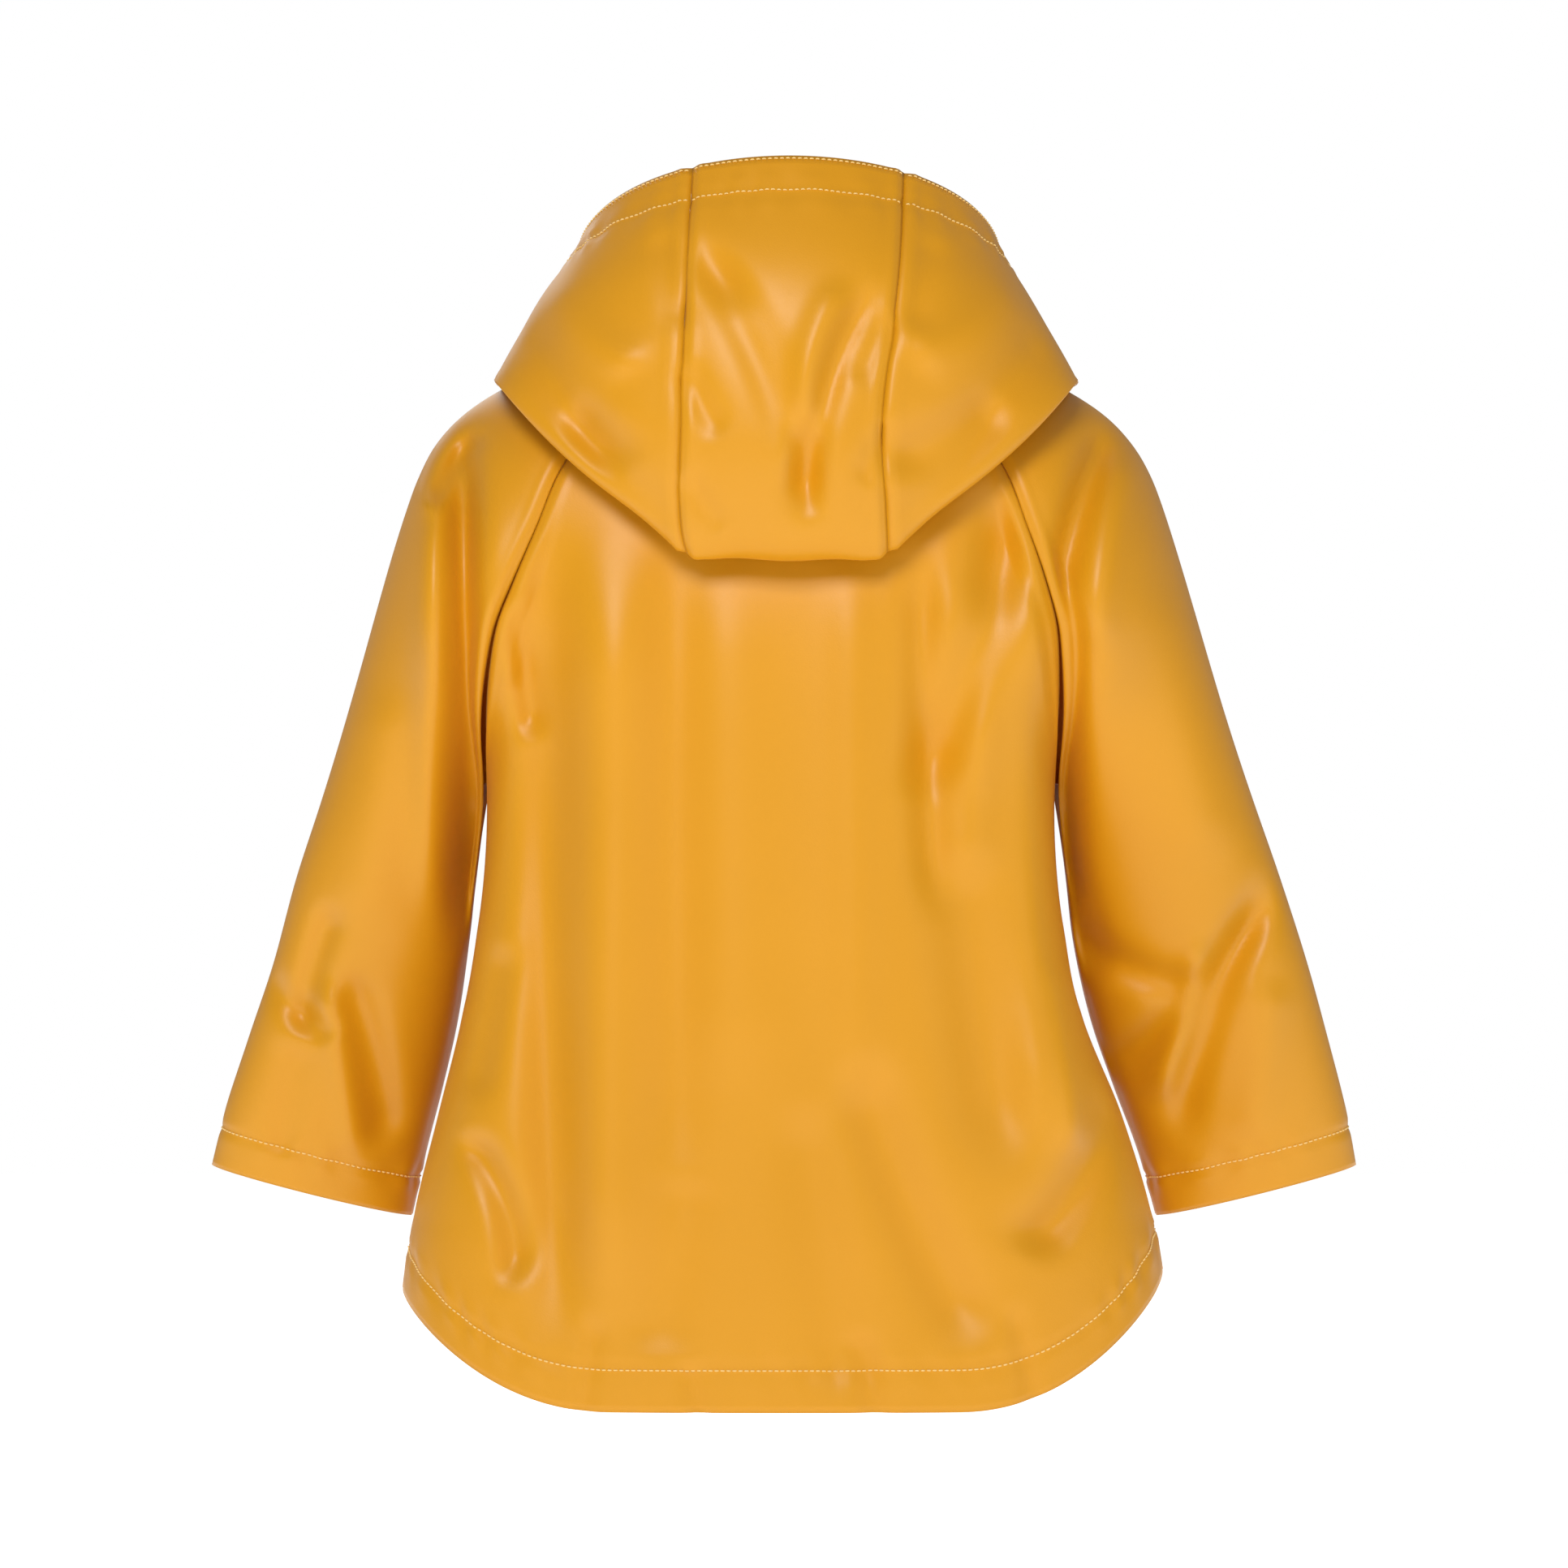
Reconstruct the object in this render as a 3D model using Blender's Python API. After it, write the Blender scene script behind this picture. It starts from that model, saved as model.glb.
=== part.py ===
"""A child's hooded raincoat, filled out as if worn, with the hood down.

The coat is cut from coated cloth in eight pieces: a back, two fronts that overlap down the
centre, two raglan sleeves and a hood of three panels.  Each piece is one thin wall.  Its outer
face is a sheet of quads worked out from the tables below, and a Solidify modifier gives it the
cloth's thickness on the inside.

Frame: +Z up, the wearer faces -Y, the wearer's left is +X, and the origin is the middle of the
neck.  The tables and sizes are in millimetres.
"""

import math

import bpy
import numpy as np

MM = 0.001

# Driving sizes, for a child of about 104 cm
CLOTH = 1.2  # thickness of the coated cloth
SEAM_GAP = 0.3  # air between two pieces that are sewn together
ARMPIT_Z = -195.0  # height of the underarm point below the neck
HEM_BACK_Z = -497.0  # the shirt-tail hem: long at the back,
HEM_SIDE_Z = {1: -445.0, -1: -436.0}  # high at the left and the right side seams,
HEM_FRONT_Z = -474.0  # and a little shorter at the front
HEM_FLAT = 0.44  # share of each half that stays level
OVERLAP_HALF = 13.0  # each front runs this far past the centre line
OVERLAP_LIFT = CLOTH + 0.8  # how far the upper front is moved out over the lower one
SNAP_RADIUS = 6.5
SNAP_HEIGHT = 2.2
SNAP_SEAT = 0.4  # between a cap and the cloth under it
SNAP_COUNT = 5
SNAP_TOP_Z = -72.0
SNAP_BOTTOM_Z = -420.0

# Neckline, as an oval in plan whose height falls towards the front
NECK = {"half_width": 74.0, "mid_y": -4.0, "back_y": 47.0, "front_y": -58.0,
        "back_z": 2.0, "side_z": 12.0, "front_z": -48.0}

# Raglan seams, from the neck (row 0) to the underarm (last row).  A row gives the seam's point,
# how much nearer the middle it is on the coat's right, the height of the same row at the middle
# of the body, and the heading of the body cloth as it reaches the seam and of the sleeve cloth
# as it leaves it (degrees, from straight out to the side towards the far face).
SEAM_COLUMNS = (
    "x", "y", "z", "right_in", "middle_z", "body_heading", "body_reach", "sleeve_heading", "rise", "sleeve_reach",
)
BACK_SEAM = [
    (56, 33, 8, 0, 2, 45, 20, 45, 0.30, 14),
    (82, 57, -12, 0, -14, 26, 28, 26, 0.45, 16),
    (106, 74, -44, 1, -38, 14, 38, 12, 0.50, 20),
    (119, 79, -75, 2, -66, 12, 48, 4, 0.45, 26),
    (130, 79, -101, 4, -90, 18, 50, -12, 0.35, 32),
    (139, 74, -124, 7, -114, 28, 50, -30, 0.25, 38),
    (144, 61, -149, 10, -140, 44, 52, -50, 0.15, 46),
    (147, 42, -171, 12, -162, 62, 54, -70, 0.08, 56),
    (147, 20, -187, 13, -181, 78, 66, -82, 0.0, 66),
    (145, -4, -195, 13, -195, 90, 81.6, -90, 0.0, 74),
]
FRONT_SEAM = [
    (52, -46, -14, 0, -48, 38, 18, 38, 0.20, 14),
    (70, -63, -32, 0, -56, 26, 24, 26, 0.35, 16),
    (92, -76, -62, 1, -72, 18, 32, 14, 0.45, 22),
    (108, -83, -92, 2, -92, 18, 38, 4, 0.40, 28),
    (121, -84, -118, 4, -112, 24, 42, -12, 0.30, 36),
    (131, -79, -140, 7, -131, 34, 46, -30, 0.20, 44),
    (138, -67, -160, 10, -150, 48, 50, -50, 0.12, 52),
    (142, -50, -177, 12, -168, 64, 58, -70, 0.05, 60),
    (144, -28, -189, 13, -183, 78, 64, -82, 0.0, 68),
    (145, -4, -195, 13, -195, 90, 77.6, -90, 0.0, 74),
]

# Outer line of the sleeve, over the shoulder and down the arm, how much nearer the middle it is
# on the coat's left, and how far the cloth reaches back and forward from it before it turns.
# Rows 0 to 9 pair with the seam rows.
OUTER_COLUMNS = ("x", "y", "z", "left_in", "reach")
SLEEVE_OUTER = [
    (74, -4, 12, 0, 18),
    (103, -5, 9, 0, 30),
    (131, -6, 0, 0, 40),
    (155, -7, -14, 0, 48),
    (171, -8, -30, 0, 54),
    (182, -9, -49, 1, 58),
    (191, -10, -74, 1, 62),
    (199, -11, -100, 1, 65),
    (206, -13, -127, 1, 68),
    (215, -15, -154, 2, 70),
    (230, -19, -199, 3, 66),
    (246, -25, -244, 4, 62),
    (261, -32, -288, 7, 59),
    (272, -40, -325, 5, 56),
    (281, -47, -359, 2, 51),
    (287, -53, -389, 0, 44),
]
# Underarm line of the sleeve below the armpit, rows 9 to 15 of the sleeve
INNER_COLUMNS = ("x", "y", "z", "right_in", "reach")
SLEEVE_INNER = [
    (145, -4, -195, 13, 74),
    (152, -18, -236, 13, 68),
    (157, -30, -276, 13, 62),
    (163, -41, -315, 10, 57),
    (171, -50, -349, 6, 53),
    (180, -57, -383, 2, 49),
    (187, -62, -415, 0, 44),
]

# Body below the neck, by height: how far back and forward the middle of the cloth is, and the
# half width and the fore-and-aft place of the side seam
BODY_COLUMNS = ("z", "back_y", "front_y", "side_x", "right_in", "side_y")
BODY = [
    (2, 47, -36, 145, 13, -4),
    (-16, 62, -46, 145, 13, -4),
    (-48, 79, -58, 145, 13, -4),
    (-72, 87, -74, 145, 13, -4),
    (-110, 93, -88, 145, 13, -4),
    (-150, 96, -96, 145, 13, -4),
    (-195, 98, -101, 145, 13, -4),
    (-235, 99, -104, 146, 13, 2),
    (-270, 100, -106, 150, 13, 8),
    (-310, 101, -108, 157, 12, 12),
    (-360, 103, -110, 169, 4, 12),
    (-410, 105, -112, 181, 1, 9),
    (-445, 106, -113, 187, 0, 6),
    (-508, 108, -114, 190, 0, 4),
]
BODY_SQUARENESS = 0.80  # of the body's quarter curves; 0.55 is a true ellipse

# Rings of the hood, from the neck seam out over the back, round the fold and up to the face
# edge.  Each is an oval in plan; "full" under 1 fills its back corners, and "lift" and "droop"
# shape how its height runs from the side to the middle of the back and of the front.  The last
# columns are where the seams of the middle panel cross the ring, on the coat's left and right,
# and how far the ring leans to the left.
RING_COLUMNS = (
    "half_width", "mid_y", "back_y", "front_y", "back_z", "side_z", "front_z", "full", "lift", "droop",
    "left_x", "right_x", "lean",
)
HOOD_RINGS = [
    (74, -4, 47, -58, 2, 12, -48, 1.00, 2.0, 2.0, 44, 44, 0),
    (79, -4, 57, -63, 13, 22, -43, 0.90, 2.0, 2.2, 46, 46, 0),
    (112, 0, 88, -70, -40, 21, -41, 0.60, 2.0, 2.6, 49, 49, 0),
    (134, 3, 101, -75, -84, 8, -41, 0.47, 2.0, 3.0, 49, 49, 0),
    (142, 4, 112, -79, -92, -2, -41, 0.48, 2.0, 3.0, 48, 49, -1),
    (138, 5, 124, -81, -77, 7, -38, 0.55, 1.8, 3.0, 51, 48, -1),
    (130, 6, 133, -81, -30, 22, -34, 0.70, 1.6, 2.6, 50, 46, -1),
    (118, 4, 124, -80, 40, 43, -30, 0.85, 1.3, 2.2, 48, 54, -1),
    (103, -8, 88, -77, 102, 63, -28, 0.95, 1.0, 2.0, 47, 56, -2.5),
]

# The largest folds, as strokes on the back and front faces.  A stroke runs from (x0, z0) to
# (x1, z1), bows sideways, and is width wide at half its depth.  Depth is out of the cloth, so a
# trough is negative.
FOLD_COLUMNS = ("x0", "z0", "x1", "z1", "bow", "width", "depth")
BACK_FOLDS = [
    (114, -120, 108, -440, 0, 26, -4.0),
    (84, -140, 92, -430, 3, 26, 2.5),
    (12, -120, 18, -460, 0, 30, -1.5),
    (-62, -100, -80, -420, 4, 30, -4.0),
    (-104, -80, -60, -260, 4, 24, 2.5),
    (134, -300, 128, -420, 3, 20, -5.0),
    (-140, -300, -118, -450, -4, 24, -5.0),
]
SLEEVE_BACK_FOLDS_LEFT = [
    (156, -36, 158, -250, -3, 13, -11.0),
    (178, -70, 180, -250, 0, 14, 3.0),
    (232, -290, 215, -372, 0, 15, -4.0),
]
SLEEVE_BACK_FOLDS_RIGHT = [
    (-164, -30, -136, -120, 3, 13, -6.0),
    (-138, -130, -145, -250, 0, 12, -7.0),
    (-178, -330, -238, -262, 6, 14, -4.0),
]
HOOD_FOLDS = [
    (36, 44, -8, -40, -6, 20, -6.0),
    (-30, 40, -12, -40, 5, 18, 3.0),
    (104, 24, 74, -44, 6, 22, -5.0),
    (-104, 8, -70, -30, -6, 22, -4.0),
]

# Number of quads along each piece
YOKE_ROWS = 10  # beside the raglan seams, on the body and the sleeves alike
SKIRT_ROWS = 9
ARM_ROWS = 10
HOOD_ROWS = 16
BACK_COLUMNS = 20
FRONT_COLUMNS = 10
SLEEVE_COLUMNS = 18
HOOD_MIDDLE_COLUMNS = 6
HOOD_SIDE_COLUMNS = 11
SNAP_SIDES = 16

TOP_INSET = 0.015  # table rows between the neckline and the top of a body piece or a sleeve
BODY_EDGE = 0.9985  # where the body's pieces end, short of their seams
SLEEVE_EDGE = 0.003  # where the sleeves start, past their seams
HOOD_INSET = 0.04  # table rows between the neckline and the hood

CLOTH_COLOUR = (0.78, 0.38, 0.035, 1)
SNAP_COLOUR = (0.74, 0.36, 0.04, 1)


# Curves


def column(rows, columns, name):
    """One named column of a table."""
    return np.array([row[columns.index(name)] for row in rows], float)


def follow(values, at):
    """A smooth curve through equally spaced values, read at fractional places."""
    last = len(values) - 1
    place = np.clip(at, 0, last)
    low = np.minimum(place.astype(int), last - 1)
    part = place - low
    slope = np.gradient(values)
    square, cube = part**2, part**3
    return (
        values[low] * (2 * cube - 3 * square + 1)
        + slope[low] * (cube - 2 * square + part)
        + values[low + 1] * (3 * square - 2 * cube)
        + slope[low + 1] * (cube - square)
    )


def follow_table(rows, columns, at):
    """All columns of a table, read at fractional rows, as a dictionary."""
    return {name: follow(column(rows, columns, name), at) for name in columns}


def at_height(name, z):
    """A column of the body's table at the given heights."""
    heights = -column(BODY, BODY_COLUMNS, "z")
    place = np.interp(-z, heights, np.arange(len(heights)))
    return follow(column(BODY, BODY_COLUMNS, name), place)


def bezier(start, start_handle, end_handle, end, along):
    """Points of a cubic Bezier curve."""
    t = along[..., None]
    return (
        start * (1 - t) ** 3
        + start_handle * 3 * t * (1 - t) ** 2
        + end_handle * 3 * t**2 * (1 - t)
        + end * t**3
    )


def point(x, y, z):
    """An array of points from three arrays or numbers."""
    return np.stack(np.broadcast_arrays(x, y, z), axis=-1).astype(float)


def ease(value):
    """0 below 0, 1 above 1, and smooth between."""
    clipped = np.clip(value, 0, 1)
    return clipped**2 * (3 - 2 * clipped)


def ring_point(ring, angle):
    """A point of an oval ring.  The angle is 0 at the back and 180 degrees at the front."""
    forward = np.cos(angle)
    behind = forward > 0
    share = np.abs(forward)
    reach = np.where(behind, ring["back_y"], ring["front_y"]) - ring["mid_y"]
    rise = np.where(behind, ring["back_z"], ring["front_z"]) - ring["side_z"]
    full = np.where(behind, ring["full"], 1.0)
    lift = np.where(behind, ring["lift"], ring["droop"])
    return point(
        ring["half_width"] * np.sin(angle),
        ring["mid_y"] + reach * share**full,
        ring["side_z"] + rise * share**lift,
    )


def neck_point(angle):
    """A point of the neckline."""
    return ring_point({**NECK, "full": 1.0, "lift": 2.0, "droop": 2.0}, angle)


def neck_angle(x, behind):
    """The neckline's angle where it is x from the middle."""
    angle = math.asin(min(1.0, x / NECK["half_width"]))
    return angle if behind else math.pi - angle


def pulled_to_neck(points, first, angle, down):
    """Moves the top of a piece onto the neckline; the shift fades out down the piece."""
    fade = 1 - ease(down)
    return points + (neck_point(angle) - first) * fade[..., None]


# Body


def nearer(table, side):
    """A table's x, moved towards the middle on the coat's right."""
    return table["x"] - table["right_in"] * (side < 0)


def seam_frame(rows, place, face, side):
    """A raglan seam's points, and the directions and reaches of the cloth on its two sides."""
    seam = follow_table(rows, SEAM_COLUMNS, place)
    body = np.radians(seam["body_heading"])
    sleeve = np.radians(seam["sleeve_heading"])
    return {
        "at": point(nearer(seam, side), seam["y"], seam["z"]),
        "middle_z": seam["middle_z"],
        "body_way": point(np.cos(body), -face * np.sin(body), 0 * body),
        "body_reach": seam["body_reach"],
        "sleeve_way": point(np.cos(sleeve), -face * np.sin(sleeve), seam["rise"]),
        "sleeve_reach": seam["sleeve_reach"],
    }


def hem_height(middle_z, side, across):
    """The shirt-tail hem: flat in the middle, curving up to the side seam."""
    rest = 1 - across
    sideways = 3 * BODY_SQUARENESS * across * rest**2 + 3 * across**2 * rest + across**3
    curve = np.clip((sideways - HEM_FLAT) / (1 - HEM_FLAT), 0, 1) ** 2.1
    return middle_z + (HEM_SIDE_Z[side] - middle_z) * curve


def body_half(rows, face, side, down, across):
    """The body's cloth from the middle (across 0) to the seam (across 1), with x positive.

    down runs from 0 at the neck through 1 at the underarm to 2 at the hem; face is 1 for the
    back and -1 for the front; side is 1 for the coat's left and -1 for its right.
    """
    name = "back_y" if face > 0 else "front_y"
    hem_z = HEM_BACK_Z if face > 0 else HEM_FRONT_Z
    place = np.clip(down, 0, 1) * (len(rows) - 1)
    frame = seam_frame(rows, place, face, side)
    middle = point(0, at_height(name, frame["middle_z"]), frame["middle_z"])
    reach = BODY_SQUARENESS * frame["at"][..., 0]
    yoke = bezier(
        middle,
        middle + point(reach, 0 * reach, 0 * reach),
        frame["at"] - frame["body_way"] * frame["body_reach"][..., None],
        frame["at"],
        across,
    )
    z = ARMPIT_Z + (hem_height(hem_z, side, across) - ARMPIT_Z) * np.clip(down - 1, 0, 1)
    middle_y = at_height(name, z)
    side_x = at_height("side_x", z) - at_height("right_in", z) * (side < 0)
    side_y = at_height("side_y", z)
    skirt = bezier(
        point(0, middle_y, z),
        point(BODY_SQUARENESS * side_x, middle_y, z),
        point(side_x, side_y + BODY_SQUARENESS * (middle_y - side_y), z),
        point(side_x, side_y, z),
        across,
    )
    return np.where((down < 1)[..., None], yoke, skirt)


def body_piece(rows, face, side, down, across):
    """body_half with its top edge on the neckline."""
    points = body_half(rows, face, side, down, across)
    top = body_half(rows, face, side, 0 * down, across)
    middle = 0 if face > 0 else math.pi
    angle = middle + (neck_angle(rows[0][0], face > 0) - middle) * across
    return pulled_to_neck(points, top, angle, down * 3.0)


# Sleeves


def sleeve_half(rows, face, side, along, around):
    """The sleeve's cloth from the raglan seam or the underarm (around 0) to its outer line
    (around 1), with x positive.  along counts the rows of the sleeve's tables."""
    last_seam = len(rows) - 1
    outer = follow_table(SLEEVE_OUTER, OUTER_COLUMNS, along)
    frame = seam_frame(rows, np.clip(along, 0, last_seam), face, side)
    inner = follow_table(SLEEVE_INNER, INNER_COLUMNS, np.clip(along - last_seam, 0, None))
    below = (along >= last_seam)[..., None]
    start = np.where(below, point(nearer(inner, side), inner["y"], inner["z"]), frame["at"])
    start = start + point(2 * SEAM_GAP * ease((along - 5) / 3), 0 * along, 0 * along)
    way = np.where(below, point(0, face, 0), frame["sleeve_way"])
    reach = np.where(along >= last_seam, inner["reach"], frame["sleeve_reach"])
    end = point(outer["x"] - outer["left_in"] * (side > 0), outer["y"], outer["z"])
    return bezier(
        start,
        start + way * reach[..., None],
        end + point(0, face * outer["reach"], 0),
        end,
        around,
    )


def sleeve_round(side, along, around):
    """The whole sleeve with x positive: around runs from the back seam (0) over the outer line
    (0.5) to the front seam (1)."""
    back = sleeve_half(BACK_SEAM, 1, side, along, np.clip(around * 2, 0, 1))
    front = sleeve_half(FRONT_SEAM, -1, side, along, np.clip(2 - around * 2, 0, 1))
    return np.where((around < 0.5)[..., None], back, front)


def sleeve_piece(side, along, around):
    """sleeve_round with its top edge on the neckline."""
    points = sleeve_round(side, along, around)
    top = sleeve_round(side, 0 * along, around)
    first = neck_angle(BACK_SEAM[0][0], True)
    last = neck_angle(FRONT_SEAM[0][0], False)
    return pulled_to_neck(points, top, first + (last - first) * around, along / 2.5)


# Hood


def hood_piece(up, angle):
    """The hood's cloth on the +X side.  up counts the rows of HOOD_RINGS, and the angle runs
    from the middle of the back to the front."""
    return ring_point(follow_table(HOOD_RINGS, RING_COLUMNS, up), angle)


def hood_angle(up, x, behind):
    """The angle at which the hood's ring is x from the middle."""
    half_width = follow(column(HOOD_RINGS, RING_COLUMNS, "half_width"), up)
    angle = np.arcsin(np.clip(x / half_width, 0, 1))
    return angle if behind else math.pi - angle


# Folds


def fold_shift(points, folds):
    """How far each point moves out of the cloth, from the strokes of a fold table."""
    x, z = points[..., 0], points[..., 2]
    shift = np.zeros_like(x)
    for x0, z0, x1, z1, bow, width, depth in folds:
        run = np.array([x1 - x0, z1 - z0])
        length = np.hypot(*run)
        run = run / length
        along = ((x - x0) * run[0] + (z - z0) * run[1]) / length
        aside = -(x - x0) * run[1] + (z - z0) * run[0]
        aside = aside - bow * 4 * along * (1 - along)
        ends = ease(along / 0.25 + 0.5) * ease((1 - along) / 0.25 + 0.5)
        shift += depth * ends * np.exp(-((aside / width) ** 2) * 2.77)
    return shift


# Meshes


def stations(first, turn, last, rows_before, rows_after):
    """Row parameters from first to last, with one row exactly at the turn."""
    before = np.linspace(first, turn, rows_before + 1)[:-1]
    return np.concatenate([before, np.linspace(turn, last, rows_after + 1)])


def body_grid(first_column, columns):
    """The parameters of a body piece: down its rows and across its columns."""
    down = stations(TOP_INSET / (len(BACK_SEAM) - 1), 1, 2, YOKE_ROWS, SKIRT_ROWS)
    return np.meshgrid(down, np.linspace(first_column, 1, columns + 1), indexing="ij")


def hood_grid(first_column, columns):
    """The parameters of a hood panel: up its rows and across its columns."""
    up = np.linspace(HOOD_INSET, len(HOOD_RINGS) - 1, HOOD_ROWS + 1)
    return np.meshgrid(up, np.linspace(first_column, 1, columns + 1), indexing="ij")


def mirrored(grid):
    """The same points on the -X side."""
    return grid * np.array([-1.0, 1.0, 1.0])


def cloth_material():
    """Coated cloth: mustard yellow, with a soft sheen."""
    material = bpy.data.materials.new("coated_cloth")
    material.use_nodes = True
    shader = material.node_tree.nodes["Principled BSDF"]
    shader.inputs["Base Color"].default_value = CLOTH_COLOUR
    shader.inputs["Roughness"].default_value = 0.45
    shader.inputs["Metallic"].default_value = 0.0
    return material


def snap_material():
    """Enamelled metal snap cap, dyed to match the cloth."""
    material = bpy.data.materials.new("snap_enamel")
    material.use_nodes = True
    shader = material.node_tree.nodes["Principled BSDF"]
    shader.inputs["Base Color"].default_value = SNAP_COLOUR
    shader.inputs["Roughness"].default_value = 0.3
    shader.inputs["Metallic"].default_value = 0.0
    return material


def add_sheet(name, grid, material, turned, welded_from=None):
    """One piece of cloth from a grid of points on its outer face.

    The outer face is the side from which rows run down and columns run left, or its other side
    if turned.  From row welded_from on, the last column is joined to the first, which closes a
    sleeve.
    """
    rows, columns = grid.shape[:2]
    weld = welded_from if welded_from is not None else rows
    number = {}
    points = []
    for row in range(rows):
        for place in range(columns):
            if row >= weld and place == columns - 1:
                number[row, place] = number[row, 0]
                continue
            number[row, place] = len(points)
            points.append(tuple(grid[row, place] * MM))
    quads = [
        (number[r, c], number[r + 1, c], number[r + 1, c + 1], number[r, c + 1])
        for r in range(rows - 1)
        for c in range(columns - 1)
    ]
    if turned:
        quads = [quad[::-1] for quad in quads]
    mesh = bpy.data.meshes.new(name)
    mesh.from_pydata(points, [], quads)
    mesh.materials.append(material)
    mesh.shade_smooth()
    sheet = bpy.data.objects.new(name, mesh)
    bpy.context.scene.collection.objects.link(sheet)
    wall = sheet.modifiers.new("cloth_thickness", "SOLIDIFY")
    wall.thickness = CLOTH * MM
    wall.offset = -1.0
    wall.use_even_offset = False
    return sheet


# Pieces


def both_sides(signed, right, left):
    """Points of the coat's right, mirrored, where signed is negative, and of its left elsewhere."""
    return np.where((signed < 0)[..., None], mirrored(right), left)


def make_back(material):
    """The back, one piece from side seam to side seam, between the raglan seams."""
    down, across = body_grid(-1, BACK_COLUMNS)
    share = np.abs(across) * BODY_EDGE
    grid = both_sides(across, body_piece(BACK_SEAM, 1, -1, down, share), body_piece(BACK_SEAM, 1, 1, down, share))
    shift = fold_shift(grid, BACK_FOLDS) * ease((1 - share) / 0.2)
    grid = grid + shift[..., None] * np.array([0.0, 1.0, 0.0])
    return add_sheet("back", grid, material, turned=True)


def front_grid(side):
    """A front with x positive on its own side, running past the middle by the overlap."""
    down, share = body_grid(0, FRONT_COLUMNS)
    edge = body_half(FRONT_SEAM, -1, side, down, np.ones_like(down))[..., 0]
    start = -OVERLAP_HALF / (3 * BODY_SQUARENESS * edge)
    across = start + (BODY_EDGE - start) * share
    half = body_piece(FRONT_SEAM, -1, side, down, np.abs(across))
    return np.where((across < 0)[..., None], mirrored(half), half), down


def front_lift(grid, down):
    """How the upper front is moved out where it lies on the lower one, more upwards at the top
    where the cloth slopes."""
    lift = OVERLAP_LIFT * ease((OVERLAP_HALF + 32 - grid[..., 0]) / 20)
    return lift[..., None] * point(0, -1, 0.6 * (1 - ease(down / 0.6)))


def make_front_left(material):
    """The wearer's left front, which closes over the right one."""
    grid, down = front_grid(1)
    return add_sheet("front_left", grid + front_lift(grid, down), material, turned=False)


def make_front_right(material):
    """The wearer's right front, which lies under the left one at the closure."""
    grid, down = front_grid(-1)
    return add_sheet("front_right", mirrored(grid), material, turned=True)


def make_sleeve(name, side, folds, material):
    """A raglan sleeve: open along the raglan seams, and a closed tube below the armpit."""
    armpit = len(BACK_SEAM) - 1
    along = stations(TOP_INSET, armpit, len(SLEEVE_OUTER) - 1, YOKE_ROWS, ARM_ROWS)
    along, around = np.meshgrid(along, np.linspace(0, 1, SLEEVE_COLUMNS + 1), indexing="ij")
    inset = SLEEVE_EDGE * (1 - ease((along - armpit + 1.5) / 1.2))
    grid = sleeve_piece(side, along, inset + around * (1 - 2 * inset))
    if side < 0:
        grid = mirrored(grid)
    seam_fade = ease(around / 0.08) * ease((grid[..., 1] + 10) / 30)
    shift = fold_shift(grid, folds) * seam_fade
    grid = grid + shift[..., None] * np.array([0.0, 1.0, 0.0])
    return add_sheet(name, grid, material, turned=side > 0, welded_from=YOKE_ROWS)


def hood_seam_angle(side, up, outwards):
    """The angle of the middle panel's seam on its ring, outwards millimetres to its side."""
    seam_x = follow(column(HOOD_RINGS, RING_COLUMNS, "left_x" if side > 0 else "right_x"), up)
    return hood_angle(up, seam_x + outwards, True)


def make_hood_middle(material):
    """The hood's middle panel."""
    up, share = hood_grid(-1, HOOD_MIDDLE_COLUMNS)
    left = hood_piece(up, np.abs(share) * hood_seam_angle(1, up, -SEAM_GAP))
    right = hood_piece(up, np.abs(share) * hood_seam_angle(-1, up, -SEAM_GAP))
    grid = hood_shaped(both_sides(share, right, left), up)
    return add_sheet("hood_middle", grid, material, turned=False)


def make_hood_side(name, side, material):
    """A side panel of the hood, from the middle panel's seam round to the front."""
    up, share = hood_grid(0, HOOD_SIDE_COLUMNS)
    first = hood_seam_angle(side, up, SEAM_GAP)
    last = hood_angle(up, OVERLAP_HALF + 1, False)
    grid = hood_piece(up, first + (last - first) * share)
    if side < 0:
        grid = mirrored(grid)
    grid = hood_shaped(grid, up)
    return add_sheet(name, grid, material, turned=side < 0)


def hood_shaped(grid, up):
    """The hood's lean, and the folds on its outer part."""
    lean = follow(column(HOOD_RINGS, RING_COLUMNS, "lean"), up)
    outer = ease(up - 4.5) * ease((grid[..., 1] - 10) / 40)
    shift = fold_shift(grid, HOOD_FOLDS) * outer
    return grid + point(lean, shift, 0)


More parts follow.
